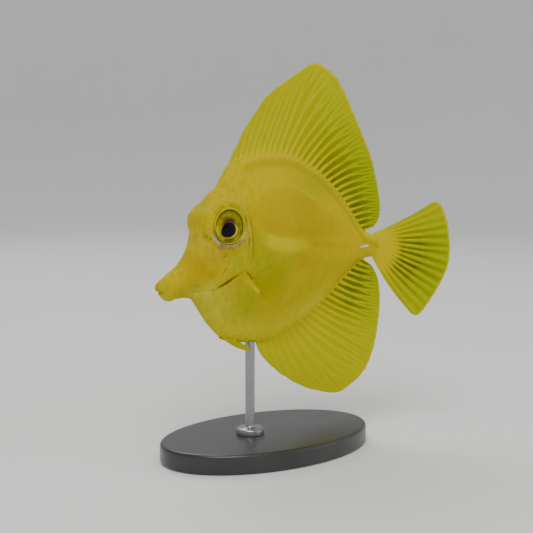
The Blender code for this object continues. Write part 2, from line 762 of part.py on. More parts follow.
def fins(group, yellow):
    dorsal_roots = root_points(back, DORSAL_ROOT, GAP)
    anal_roots = root_points(belly, ANAL_ROOT, -GAP)
    tail_roots = curve_points(TAIL_ROOT, ROOT_POINTS)
    made = [
        median_fin("dorsal_fin", dorsal_roots, DORSAL_EDGE, DORSAL_FAN, DORSAL_BOW,
                   DORSAL_RAYS, DORSAL_SPINES, group, yellow),
        median_fin("anal_fin", anal_roots, ANAL_EDGE, ANAL_FAN, ANAL_BOW, ANAL_RAYS,
                   ANAL_SPINES, group, yellow),
        median_fin("tail_fin", tail_roots, TAIL_EDGE, TAIL_FAN, TAIL_BOW, TAIL_RAYS, 0,
                   group, yellow),
    ]
    for side, word in ((-1, "left"), (1, "right")):
        made.append(paired_fin("pectoral_fin_" + word, side, pectoral_root, pectoral_move,
                               0.0, PECTORAL_RAYS, PAIRED_ROWS, group, yellow))
        made.append(paired_fin("pelvic_fin_" + word, side, pelvic_root, pelvic_move,
                               PELVIC_BOW, PELVIC_RAYS, PAIRED_ROWS, group, yellow))
    return made


def eyes(group, dark):
    made = []
    for side, name in ((-1, "eye_left"), (1, "eye_right")):
        eye = ball(name, eye_frame(side), (EYE_RADIUS, EYE_DEPTH, EYE_RADIUS), group)
        eye.data.materials.append(dark)
        made.append(eye)
    return made


def lay_in_turn(piece):
    """Curve a fish piece, in millimetres, along the body's turn, then into metres."""
    for vertex in piece.data.vertices:
        spot = in_turn(*vertex.co)
        vertex.co = spot * MM


def stand(group, base_grey, rod_grey):
    """The oval base and the turned rod that ends under the belly."""
    bpy.ops.mesh.primitive_cylinder_add(vertices=BASE_SIDES, radius=BASE_LENGTH / 2 * MM,
                                        depth=BASE_HEIGHT * MM,
                                        location=(0.0, 0.0, BASE_HEIGHT / 2 * MM))
    base = bpy.context.object
    base.name = "stand_base"
    narrow = Matrix.Diagonal((1.0, BASE_WIDTH / BASE_LENGTH, 1.0, 1.0))
    base.data.transform(narrow)
    bevel = base.modifiers.new("edge", "BEVEL")
    bevel.width = BASE_EDGE * MM
    bevel.segments = 2
    bevel.limit_method = "ANGLE"
    base.data.materials.append(base_grey)
    top = BODY_LIFT + belly(ROD_ALONG) - GAP
    foot = BASE_HEIGHT + GAP
    step = foot + ROD_FOOT_HEIGHT
    profile = [(0.0, top), (ROD_RADIUS - ROD_EDGE, top), (ROD_RADIUS, top - ROD_EDGE),
               (ROD_RADIUS, step + ROD_FILLET), (ROD_RADIUS + ROD_FILLET, step),
               (ROD_FOOT_RADIUS - FOOT_EDGE, step), (ROD_FOOT_RADIUS, step - FOOT_EDGE),
               (ROD_FOOT_RADIUS, foot), (0.0, foot)]
    mesh = bpy.data.meshes.new("stand_rod")
    points = [(x * MM, 0.0, z * MM) for x, z in profile]
    mesh.from_pydata(points, [(k, k + 1) for k in range(len(points) - 1)], [])
    rod = new_object("stand_rod", mesh, group, rod_grey)
    screw = rod.modifiers.new("turn", "SCREW")
    screw.angle = 2.0 * math.pi
    screw.steps = ROD_SIDES
    screw.render_steps = ROD_SIDES
    screw.use_merge_vertices = True
    screw.merge_threshold = 0.00001
    rod.location = (ROD_ALONG * MM, 0.0, 0.0)
    for home in list(base.users_collection):
        home.objects.unlink(base)
    group.objects.link(base)


def build():
    clear_scene()
    group = bpy.data.collections.new("yellow_tang")
    bpy.context.scene.collection.children.link(group)
    head_yellow = material("head skin", HEAD_YELLOW, 0.45)
    body_yellow = material("body skin", BODY_YELLOW, 0.5)
    fin_yellow = material("fin skin", FIN_YELLOW, 0.5)
    spine_white = material("blade", SPINE_WHITE, 0.35)
    eye_dark = material("eye", EYE_DARK, 0.1)
    base_grey = material("stand base", BASE_GREY, 0.4)
    rod_grey = material("stand rod", ROD_GREY, 0.3, 1.0)
    fish = bpy.data.objects.new("fish", None)
    fish.location = (0.0, 0.0, BODY_LIFT * MM)
    group.objects.link(fish)
    pieces = head_pieces(group, head_yellow)
    pieces += trunk_pieces(group, body_yellow)
    pieces += eyes(group, eye_dark)
    pieces += fins(group, fin_yellow)
    for side, word in ((-1, "left"), (1, "right")):
        pieces.append(blade("tail_blade_" + word, side, 0.0, group, spine_white))
    for piece in pieces:
        lay_in_turn(piece)
        piece.parent = fish
    stand(group, base_grey, rod_grey)


build()
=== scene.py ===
import math
import bpy
import numpy as np
from mathutils import Matrix, Vector


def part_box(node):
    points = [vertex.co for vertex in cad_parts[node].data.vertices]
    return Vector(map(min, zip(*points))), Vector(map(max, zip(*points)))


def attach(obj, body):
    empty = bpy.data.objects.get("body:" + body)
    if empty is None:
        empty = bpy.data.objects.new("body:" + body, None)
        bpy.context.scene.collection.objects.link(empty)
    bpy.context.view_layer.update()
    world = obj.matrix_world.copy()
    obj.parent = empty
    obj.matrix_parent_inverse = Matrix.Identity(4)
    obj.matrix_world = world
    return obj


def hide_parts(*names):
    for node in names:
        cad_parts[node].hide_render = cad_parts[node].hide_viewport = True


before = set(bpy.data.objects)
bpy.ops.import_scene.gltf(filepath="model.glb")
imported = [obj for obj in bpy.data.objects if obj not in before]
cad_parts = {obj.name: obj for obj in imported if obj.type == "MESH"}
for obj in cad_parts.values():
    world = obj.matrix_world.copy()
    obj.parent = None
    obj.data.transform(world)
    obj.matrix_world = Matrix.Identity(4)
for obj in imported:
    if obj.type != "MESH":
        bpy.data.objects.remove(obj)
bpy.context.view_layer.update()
bpy.ops.object.select_all(action="DESELECT")
mm = 0.001
curveSteps = 16  # points between two keys of a rounded curve
lineSteps = 60   # points along a line of the skin
sideWord = {-1: "left", 1: "right"}

# The fish is shaped in a straight frame, in millimetres: along, across and up from the
# middle of its body. layInTurn bends it into its turn and lifts it onto the stand.
fish = {
    "lift": 43.0,
    "turnStart": 8.0,
    "turnLength": 28.0,
    "turnAngle": math.radians(26.0),
}


def smoothLine(keys):
    # a smooth line through the keys that never leaves the span between two of them
    xs = np.array([key[0] for key in keys], float)
    ys = np.array([key[1] for key in keys], float)
    steps = np.diff(ys) / np.diff(xs)
    slopes = [steps[0]]
    for before, after in zip(steps, steps[1:]):
        slopes.append(0.0 if before * after <= 0 else 2 * before * after / (before + after))
    slopes = np.array(slopes + [steps[-1]])

    def read(x):
        x = np.clip(np.asarray(x, float), xs[0], xs[-1])
        i = np.clip(np.searchsorted(xs, x, side="right") - 1, 0, len(xs) - 2)
        gap = xs[i + 1] - xs[i]
        f = (x - xs[i]) / gap
        rest = 1 - f
        start = ys[i] * (1 + 2 * f) + slopes[i] * gap * f
        end = ys[i + 1] * (1 + 2 * rest) - slopes[i + 1] * gap * rest
        return start * rest ** 2 + end * f ** 2

    return read


def evenCurve(keys, count):
    # points evenly spaced along a rounded curve through the keys
    keys = np.array(keys, float)
    last = len(keys) - 1
    dense = []
    f = np.linspace(0, 1, curveSteps, endpoint=False)[:, None]
    for i in range(last):
        a, b, c, d = keys[max(i - 1, 0)], keys[i], keys[i + 1], keys[min(i + 2, last)]
        bend = (2 * a - 5 * b + 4 * c - d) * f ** 2
        dense.append(b + 0.5 * ((c - a) * f + bend + (3 * (b - c) + d - a) * f ** 3))
    dense = np.vstack(dense + [keys[-1:]])
    runs = np.concatenate([[0], np.cumsum(np.linalg.norm(np.diff(dense, axis=0), axis=1))])
    want = np.linspace(0, runs[-1], count)
    return np.stack([np.interp(want, runs, dense[:, k]) for k in range(2)], axis=1)


def pointAt(points, share):
    # the points at the given shares of a curve's length
    place = np.clip(share, 0, 1) * (len(points) - 1)
    i = np.clip(place.astype(int), 0, len(points) - 2)
    f = (place - i)[:, None]
    return points[i] * (1 - f) + points[i + 1] * f


def fade(x, low, high):
    # 0 below low, 1 above high, smooth between
    f = np.clip((x - low) / (high - low), 0, 1)
    return f * f * (3 - 2 * f)


def hump(far, width):
    # 1 on a line, falling off on both sides of it
    return np.exp(-(far / width) ** 2)


def within(share, grow, shrink, last=1.0):
    # grows along the first part of a line and fades out before its end
    return fade(share, 0.0, grow) * fade(-share, -last, -shrink)


def blob(along, up, centre, size, power=2.0):
    # a soft round patch, 1 at its centre
    far = np.hypot((along - centre[0]) / size[0], (up - centre[1]) / size[1])
    return np.exp(-far ** power)


def lineReach(along, up, keys):
    # distance to a line seen from the side (positive on its left), and the share along it
    line = evenCurve(keys, lineSteps)
    best = np.full(along.shape, np.inf)
    signed = np.zeros(along.shape)
    share = np.zeros(along.shape)
    for k in range(lineSteps - 1):
        a, way = line[k], line[k + 1] - line[k]
        size = np.hypot(*way)
        f = np.clip(((along - a[0]) * way[0] + (up - a[1]) * way[1]) / size ** 2, 0, 1)
        dx, dz = along - a[0] - f * way[0], up - a[1] - f * way[1]
        far = np.hypot(dx, dz)
        near = far < best
        side = np.where(way[0] * dz - way[1] * dx >= 0, 1.0, -1.0)
        signed = np.where(near, far * side, signed)
        share = np.where(near, (k + f) / (lineSteps - 1), share)
        best = np.minimum(best, far)
    return signed, share


def layInTurn(points):
    # from the straight frame into the turn and onto the stand, in metres
    along, across, up = points[:, 0], points[:, 1], points[:, 2]
    radius = fish["turnLength"] / fish["turnAngle"]
    angle = np.clip(along - fish["turnStart"], 0, fish["turnLength"]) / radius
    beyond = np.maximum(along - fish["turnStart"] - fish["turnLength"], 0)
    x = np.minimum(along, fish["turnStart"]) + radius * np.sin(angle) + beyond * np.cos(angle)
    y = -radius * (1 - np.cos(angle)) - beyond * np.sin(angle)
    return np.stack([x + across * np.sin(angle), y + across * np.cos(angle),
                     up + fish["lift"]], axis=1) * mm


def readPoints(piece, what="co"):
    flat = np.empty(len(piece.data.vertices) * 3)
    piece.data.vertices.foreach_get(what, flat)
    return flat.reshape(-1, 3)


def writePoints(piece, points):
    piece.data.vertices.foreach_set("co", np.ascontiguousarray(points, float).ravel())
    piece.data.update()


def giveAttribute(piece, name, values):
    layer = piece.data.attributes.new(name, "FLOAT", "POINT")
    layer.data.foreach_set("value", np.asarray(values, float))


def takeUp(piece):
    # the only piece selected, and the active one
    bpy.ops.object.select_all(action="DESELECT")
    piece.select_set(True)
    bpy.context.view_layer.objects.active = piece


def turnOutwards(piece):
    # faces of a closed piece point outwards
    takeUp(piece)
    bpy.ops.object.mode_set(mode="EDIT")
    bpy.ops.mesh.select_all(action="SELECT")
    bpy.ops.mesh.normals_make_consistent(inside=False)
    bpy.ops.object.mode_set(mode="OBJECT")
    bpy.ops.object.shade_smooth()
    bpy.ops.object.select_all(action="DESELECT")


def keepEdges(piece, degrees):
    # smooth, with its sharper edges kept
    takeUp(piece)
    bpy.ops.object.shade_smooth_by_angle(angle=math.radians(degrees))
    bpy.ops.object.select_all(action="DESELECT")


def finish(piece, name, material, slot, *nodes):
    piece.name = name
    piece.data.materials.clear()
    piece.data.materials.append(material)
    turnOutwards(piece)
    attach(piece, "root")
    if nodes:
        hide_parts(*nodes)
    return piece


yellowSheen = (1.0, 0.86, 0.12)


def newMaterial(name, roughness=0.5, specular=0.5, coat=0.0, coatRoughness=0.05, sheenTint=None):
    made = bpy.data.materials.new(name)
    made.use_nodes = True
    shader = made.node_tree.nodes["Principled BSDF"]
    shader.inputs["Roughness"].default_value = roughness
    shader.inputs["Specular IOR Level"].default_value = specular
    shader.inputs["Coat Weight"].default_value = coat
    shader.inputs["Coat Roughness"].default_value = coatRoughness
    if sheenTint:
        shader.inputs["Specular Tint"].default_value = (*sheenTint, 1.0)
    return made, made.node_tree, shader


def plug(tree, socket, value):
    if isinstance(value, bpy.types.NodeSocket):
        tree.links.new(value, socket)
    elif hasattr(value, "__len__") and len(value) == 3 and socket.type == "RGBA":
        socket.default_value = (*value, 1.0)
    else:
        socket.default_value = value


def maths(tree, operation, a, b=0.0, c=0.0):
    node = tree.nodes.new("ShaderNodeMath")
    node.operation = operation
    plug(tree, node.inputs[0], a)
    plug(tree, node.inputs[1], b)
    plug(tree, node.inputs[2], c)
    return node.outputs[0]


def times(tree, *values):
    product = values[0]
    for value in values[1:]:
        product = maths(tree, "MULTIPLY", product, value)
    return product


def gapTo(tree, value, centre):
    return maths(tree, "ABSOLUTE", maths(tree, "SUBTRACT", value, centre))


def span(tree, value, low, high, start=0.0, end=1.0, smooth=True):
    # value's way from low to high, turned into start to end
    node = tree.nodes.new("ShaderNodeMapRange")
    node.interpolation_type = "SMOOTHSTEP" if smooth else "LINEAR"
    for socket, what in zip(("Value", "From Min", "From Max", "To Min", "To Max"),
                            (value, low, high, start, end)):
        plug(tree, node.inputs[socket], what)
    return node.outputs[0]


def blend(tree, share, a, b):
    node = tree.nodes.new("ShaderNodeMix")
    node.data_type = "RGBA"
    plug(tree, node.inputs["Factor"], share)
    plug(tree, node.inputs["A"], a)
    plug(tree, node.inputs["B"], b)
    return node.outputs["Result"]


def ramp(tree, value, stops):
    node = tree.nodes.new("ShaderNodeValToRGB")
    plug(tree, node.inputs[0], value)
    bar = node.color_ramp.elements
    while len(bar) < len(stops):
        bar.new(0.5)
    for stop, (place, colour) in zip(bar, stops):
        stop.position = place
        stop.color = (*colour, 1.0)
    return node.outputs[0]


def greys(stops):
    return [(place, (value, value, value)) for place, value in stops]


def attribute(tree, name):
    node = tree.nodes.new("ShaderNodeAttribute")
    node.attribute_name = name
    return node.outputs["Fac"]


def objectPlace(tree, scale=(1.0, 1.0, 1.0)):
    coords = tree.nodes.new("ShaderNodeTexCoord")
    mapping = tree.nodes.new("ShaderNodeMapping")
    mapping.inputs["Scale"].default_value = scale
    tree.links.new(coords.outputs["Object"], mapping.inputs["Vector"])
    return mapping.outputs[0]


def noise(tree, place, scale, detail=2.0, rough=0.5):
    node = tree.nodes.new("ShaderNodeTexNoise")
    plug(tree, node.inputs["Vector"], place)
    node.inputs["Scale"].default_value = scale
    node.inputs["Detail"].default_value = detail
    node.inputs["Roughness"].default_value = rough
    return node.outputs["Fac"]


def cells(tree, place, scale):
    node = tree.nodes.new("ShaderNodeTexVoronoi")
    plug(tree, node.inputs["Vector"], place)
    node.inputs["Scale"].default_value = scale
    return node.outputs["Distance"]


def relief(tree, shader, height, strength, depth, under=None):
    # bump that lies on the bump given as under
    node = tree.nodes.new("ShaderNodeBump")
    node.inputs["Strength"].default_value = strength
    node.inputs["Distance"].default_value = depth
    plug(tree, node.inputs["Height"], height)
    if under:
        tree.links.new(under, node.inputs["Normal"])
    tree.links.new(node.outputs[0], shader.inputs["Normal"])
    return node.outputs[0]


def flatPlace(tree, centre):
    # x and z in millimetres from a point of the head, seen from the side
    coords = tree.nodes.new("ShaderNodeTexCoord")
    axes = tree.nodes.new("ShaderNodeSeparateXYZ")
    tree.links.new(coords.outputs["Object"], axes.inputs[0])
    x = maths(tree, "MULTIPLY_ADD", axes.outputs[0], 1000.0, -centre[0])
    z = maths(tree, "MULTIPLY_ADD", axes.outputs[2], 1000.0, -centre[1] - fish["lift"])
    return x, z


def distance(tree, x, z, size=(1.0, 1.0)):
    x = maths(tree, "DIVIDE", x, size[0])
    z = maths(tree, "DIVIDE", z, size[1])
    return maths(tree, "SQRT", maths(tree, "ADD", times(tree, x, x), times(tree, z, z)))


# camera, floor and light
view = {
    "turn": -36.0, "rise": 6.0, "lens": 70.0, "sensor": 36.0, "near": 0.005,
    "away": 0.2384, "aim": (0.0, 0.0, 0.043),
}
studio = {
    "sides": 96, "wallSteps": 12, "mottle": 14.0, "mottleDark": 0.985,
    "floorColour": (0.88, 0.88, 0.87), "floorFlat": 0.75, "wallRound": 0.45, "wallTop": 1.3,
    "sky": (0.95, 0.97, 1.0), "skyPower": 0.43,
    # name, place, size, power and colour
    "lamps": [
        ("keyLamp", (-0.26, -0.36, 0.62), 0.42, 3.2, (1.0, 0.98, 0.95)),
        ("fillLamp", (0.45, -0.42, 0.28), 0.55, 0.6, (0.95, 0.97, 1.0)),
        ("backLamp", (0.12, 0.45, 0.60), 0.40, 1.6, (1.0, 1.0, 1.0)),
    ],
}


def setStage():
    turn, rise = math.radians(view["turn"]), math.radians(view["rise"])
    aim = Vector(view["aim"])
    out = Vector((math.sin(turn) * math.cos(rise), -math.cos(turn) * math.cos(rise),
                  math.sin(rise)))
    bpy.ops.object.camera_add(location=aim + out * view["away"],
                              rotation=(math.pi / 2 - rise, 0.0, turn))
    camera = bpy.context.object
    camera.data.lens = view["lens"]
    camera.data.sensor_width = view["sensor"]
    camera.data.clip_start = view["near"]
    bpy.context.scene.camera = camera

    # a round floor that sweeps up into a wall on all sides
    reach, level = studio["floorFlat"], 0.0
    bpy.ops.mesh.primitive_circle_add(vertices=studio["sides"], radius=reach,
                                      fill_type="NOTHING", location=(0, 0, 0))
    floor = bpy.context.object
    floor.name = "studioWall"
    bpy.ops.object.mode_set(mode="EDIT")
    bpy.ops.mesh.select_all(action="SELECT")
    profile = []
    for step in range(studio["wallSteps"]):
        angle = (step + 1) / studio["wallSteps"] * math.pi / 2
        profile.append((studio["floorFlat"] + studio["wallRound"] * math.sin(angle),
                        studio["wallRound"] * (1 - math.cos(angle))))
    profile.append((profile[-1][0], studio["wallTop"]))
    for wide, high in profile:
        bpy.ops.mesh.extrude_region_move(TRANSFORM_OT_translate={"value": (0, 0, high - level)})
        bpy.ops.transform.resize(value=(wide / reach, wide / reach, 1.0))
        reach, level = wide, high
    bpy.ops.object.mode_set(mode="OBJECT")
    floor.select_set(True)
    bpy.ops.object.shade_smooth()
    material, tree, shader = newMaterial("studio floor", 0.8, 0.2)
    tint = blend(tree, noise(tree, objectPlace(tree), studio["mottle"], 3.0),
                 studio["floorColour"], [c * studio["mottleDark"] for c in studio["floorColour"]])
    plug(tree, shader.inputs["Base Color"], tint)
    floor.data.materials.append(material)
    bpy.ops.mesh.primitive_circle_add(vertices=studio["sides"], radius=studio["floorFlat"],
                                      fill_type="NGON", location=(0, 0, 0))
    disc = bpy.context.object
    disc.name = "studioFloor"
    disc.data.materials.append(material)
    bpy.ops.object.select_all(action="DESELECT")

    world = bpy.data.worlds.new("studio")
    bpy.context.scene.world = world
    world.use_nodes = True
    sky = world.node_tree.nodes["Background"]
    sky.inputs[0].default_value = (*studio["sky"], 1.0)
    sky.inputs[1].default_value = studio["skyPower"]
    for name, place, size, power, colour in studio["lamps"]:
        way = (aim - Vector(place)).to_track_quat("-Z", "Y").to_euler()
        bpy.ops.object.light_add(type="AREA", location=place, rotation=way)
        lamp = bpy.context.object
        lamp.name = name
        lamp.data.size = size
        lamp.data.energy = power
        lamp.data.color = colour
    print("stage set")


# skin of the body and head
skin = {
    "segments": 360, "rings": 240,
    # share of the rings from the mouth to the tail, and where along the fish they lie
    "spread": [(0.0, -29.25), (0.02, -29.05), (0.10, -26.6), (0.20, -21.7), (0.24, -20.6),
               (0.34, -18.7), (0.46, -13.0), (0.60, -6.0), (0.75, 6.0), (0.88, 19.6),
               (0.97, 30.0), (1.0, 31.9)],
    "back": [(-29.25, -2.75), (-29.1, -2.15), (-28.6, -1.6), (-27.7, -0.95), (-26.3, 0.05),
             (-24.3, 1.4), (-22.6, 3.0), (-21.15, 4.9), (-20.3, 6.1), (-19.8, 7.4),
             (-19.4, 9.6), (-18.9, 12.0), (-17.4, 14.4), (-16.4, 16.2), (-15.4, 17.3),
             (-13.5, 18.8), (-11.9, 21.4), (-10.3, 23.6), (-6.6, 25.1), (-3.3, 25.8),
             (0.0, 26.2), (3.3, 26.2), (6.7, 25.7),
             (9.0, 24.9), (11.8, 23.6), (14.5, 22.0), (16.7, 20.2), (19.1, 18.0),
             (21.7, 15.0), (23.6, 12.4), (25.4, 9.7), (26.9, 7.8), (28.4, 6.9), (29.6, 6.5),
             (30.8, 5.8), (31.6, 4.7), (31.9, 3.8)],
    "belly": [(-29.25, -2.85), (-29.05, -3.3), (-28.75, -3.7), (-28.15, -4.6), (-27.7, -5.2),
              (-27.0, -5.8), (-26.0, -6.0),
              (-24.5, -5.6), (-22.6, -5.5), (-20.6, -5.9), (-19.0, -8.0), (-16.2, -12.0),
              (-12.8, -15.2), (-9.4, -16.5), (-6.5, -17.0), (-3.3, -17.3), (0.0, -16.9),
              (3.8, -15.8), (8.3, -14.0), (12.4, -11.8), (16.1, -9.2), (19.4, -6.3),
              (22.1, -3.7), (24.8, -1.0), (27.0, 0.5), (28.6, 0.9), (30.2, 1.2),
              (31.4, 2.4), (31.9, 3.6)],
    "halfWidth": [(-29.25, 0.40), (-29.0, 0.85), (-28.4, 1.25), (-27.0, 1.6), (-25.0, 1.9),
                  (-23.0, 2.3), (-21.0, 2.75), (-19.5, 3.05), (-18.0, 3.75), (-16.0, 4.3),
                  (-12.0, 4.7),
                  (-7.0, 5.1), (-2.0, 5.3), (4.0, 5.1), (10.0, 4.4), (16.0, 3.5),
                  (21.0, 2.6), (25.0, 2.0), (28.0, 1.5), (30.0, 1.08), (31.0, 0.86),
                  (31.5, 0.76), (31.9, 0.70)],
    "thickest": [(-29.25, -2.8), (-28.4, -3.1), (-25.0, -2.5), (-22.0, 0.0), (-19.5, 5.0),
                 (-16.0, 7.5), (-9.0, 6.0), (2.0, 5.0), (14.0, 4.5), (24.0, 3.9), (31.9, 3.7)],
    "fullness": [(-29.25, 0.50), (-24.0, 0.50), (-19.0, 0.55), (-12.0, 0.65), (0.0, 0.75),
                 (24.0, 0.70), (31.9, 0.60)],
    "eye": (-13.45, 10.0), "orbitLevel": 4.65, "orbitLean": 0.045,
    "socket": 3.66, "socketDepth": 1.5, "socketWall": 0.7,
    # the raised orbit about the eye: its centre, reach along and up, and how sharp its edge is
    "orbit": (-12.9, 10.9), "orbitReach": (6.15, 4.7), "orbitEdge": 10.0,
    "orbitHold": 2.5,
    "brow": ((-17.9, 11.8), (2.6, 2.8), 0.42),
    # level, height and depth of the notch between the lips, and how far back it runs
    "lipNotch": (-3.93, 0.22, 0.42), "notchReach": (28.2, 29.0),
    # lines seen from the side: gill cover edge, cheek fold, gill slit, mouth and others
    "gillEdge": [(-8.9, 14.6), (-8.2, 12.6), (-7.6, 9.0), (-7.45, 5.5), (-7.7, 2.2),
                 (-9.0, -0.4)],
    "gillFold": [(-9.2, 13.6), (-8.7, 10.5), (-8.35, 7.0), (-8.7, 4.2)],
    "gillSlit": [(-8.3, 0.9), (-9.4, -0.2), (-11.8, -1.4), (-14.1, -2.8), (-17.4, -4.3)],
    "chinLine": [(-16.6, -4.2), (-18.6, -4.5), (-21.4, -4.9)],
    "cheekFold": [(-12.4, 3.6), (-13.6, 1.5), (-14.9, -0.9), (-15.4, -2.0)],
    "cheekLine": [(-12.9, 5.0), (-14.6, 3.3), (-15.9, 1.7)],
    "noseFold": [(-18.6, 13.2), (-19.0, 10.6), (-18.8, 7.4)],
    "mouth": [(-29.6, -3.88), (-28.8, -3.90), (-28.2, -3.95), (-27.7, -4.15)],
    "nostrils": [((-18.6, 7.7), (0.30, 0.42)), ((-17.8, 7.2), (0.24, 0.30))],
    "armPit": [(-8.7, -0.4), (-8.2, -0.9), (-7.3, -1.9)],
    # top and foot of the brown field on the flank, and foot of the pale wedge
    "fieldTop": [(-6.6, 13.5), (-5.6, 16.0), (-2.7, 18.1), (0.3, 18.8), (4.1, 18.4),
                 (8.6, 16.8), (12.6, 14.6), (18.0, 11.1), (22.1, 8.3), (25.0, 6.3)],
    "fieldFoot": [(-6.4, 9.4), (-3.7, 8.1), (-1.5, 7.5), (2.9, 6.8), (8.7, 5.7), (14.6, 5.2),
                  (25.0, 4.2)],
    "wedgeFoot": [(-5.0, 5.6), (-1.5, 4.2), (2.9, 3.4), (8.7, 3.8), (11.3, 4.6)],
    "armBase": [(-10.4, -1.7), (-8.4, -2.5), (-6.6, -4.0), (-4.7, -5.6)],
    # creases: depth and width, and the shares of the line where they are full
    "creases": {"gillFold": (0.04, 0.35, 0.2, 0.8), "chinLine": (0.10, 0.40, 0.2, 0.7),
                "cheekFold": (0.05, 0.35, 0.2, 0.75), "cheekLine": (0.0, 0.35, 0.3, 0.6)},
    # height or depth of each form of the head, and how far it spreads
    "gillLip": (0.11, 2.2), "gillStep": (0.05, 0.7), "gillEnds": (0.25, 0.60, 0.90),
    "slitLip": (0.14, 1.6), "slitCut": (0.24, 0.5), "slitEnds": (0.2, 0.75),
    "slitDeepest": (0.60, 0.30), "noseCut": (0.09, 0.5), "noseEnds": (0.3, 0.8),
    "lips": (0.10, 0.55, 0.32), "lipsReach": (26.6, 28.4), "mouthCut": (0.18, 0.16),
    "nostrilRim": (0.07, 1.5, 0.5), "nostrilDepth": 0.4,
    "armRidge": (0.16, 0.8), "armRidgeEnds": (0.4, 0.8), "armEnds": (0.45, 0.85),
    "armTip": (0.5, 0.72, 0.9), "armPitCut": (0.12, 0.35),
    "finHollow": (0.10, 2.6, 1.3), "finHollowReach": (-9.0, -2.0),
    # where the end of a line is this faint, its map says far off the line
    "faint": 0.02, "offTheLine": 9.0,
}
back = smoothLine(skin["back"])
belly = smoothLine(skin["belly"])
halfWidth = smoothLine(skin["halfWidth"])
thickest = smoothLine(skin["thickest"])
fullness = smoothLine(skin["fullness"])


def flank(along, up):
    # half the body's thickness at a point of its side
    middle = thickest(along)
    edge = np.where(up > middle, back(along), belly(along))
    share = np.clip(np.abs((up - middle) / (edge - middle)), 0, 1)
    return halfWidth(along) * (1 - share ** 2) ** fullness(along)


def makeSkin(material):
    bpy.ops.mesh.primitive_uv_sphere_add(segments=skin["segments"], ring_count=skin["rings"],
                                         radius=1.0, location=(0, 0, 0))
    piece = bpy.context.object
    ball = readPoints(piece)
    ringShare = np.arccos(np.clip(ball[:, 2], -1, 1)) / math.pi
    turn = np.arctan2(np.abs(ball[:, 1]), ball[:, 0]) / math.pi
    side = np.sign(np.where(np.abs(ball[:, 1]) < 1e-6, 0.0, ball[:, 1]))
    along = smoothLine(skin["spread"])(ringShare)
    reach = 0.5 * np.cos(math.pi * turn) + 0.5 * (1 - 2 * turn)
    middle = thickest(along)
    up = middle + reach * np.where(reach > 0, back(along) - middle, middle - belly(along))
    wide = np.sqrt(np.clip(1 - reach ** 2, 0, 1))
    across = halfWidth(along) * wide ** (2 * fullness(along))
    orbit = skin["orbitLevel"] - (up - skin["eye"][1]) * skin["orbitLean"]
    near = blob(along, up, skin["orbit"], skin["orbitReach"], skin["orbitEdge"]) \
        * np.minimum(skin["orbitHold"] * wide, 1)
    across += near * (orbit - across)
    level, size, depth = skin["lipNotch"]
    notch = depth * hump(up - level, size) * fade(-along, *skin["notchReach"])
    base = np.stack([along + notch, side * across, up], axis=1)
    writePoints(piece, base)
    normals = readPoints(piece, "normal")
    if np.sum(normals[:, 1] * side) < 0:
        normals = -normals
    rise, maps = skinRelief(along, up)
    writePoints(piece, layInTurn(base + normals * rise[:, None]))
    for name, values in maps.items():
        giveAttribute(piece, name, values)
    finish(piece, "skin", material, "body_skin", "head", "lower_jaw", "gill_cover_left",
           "gill_cover_right", "trunk", "tail_stalk")
    print("skin laid over head and body")


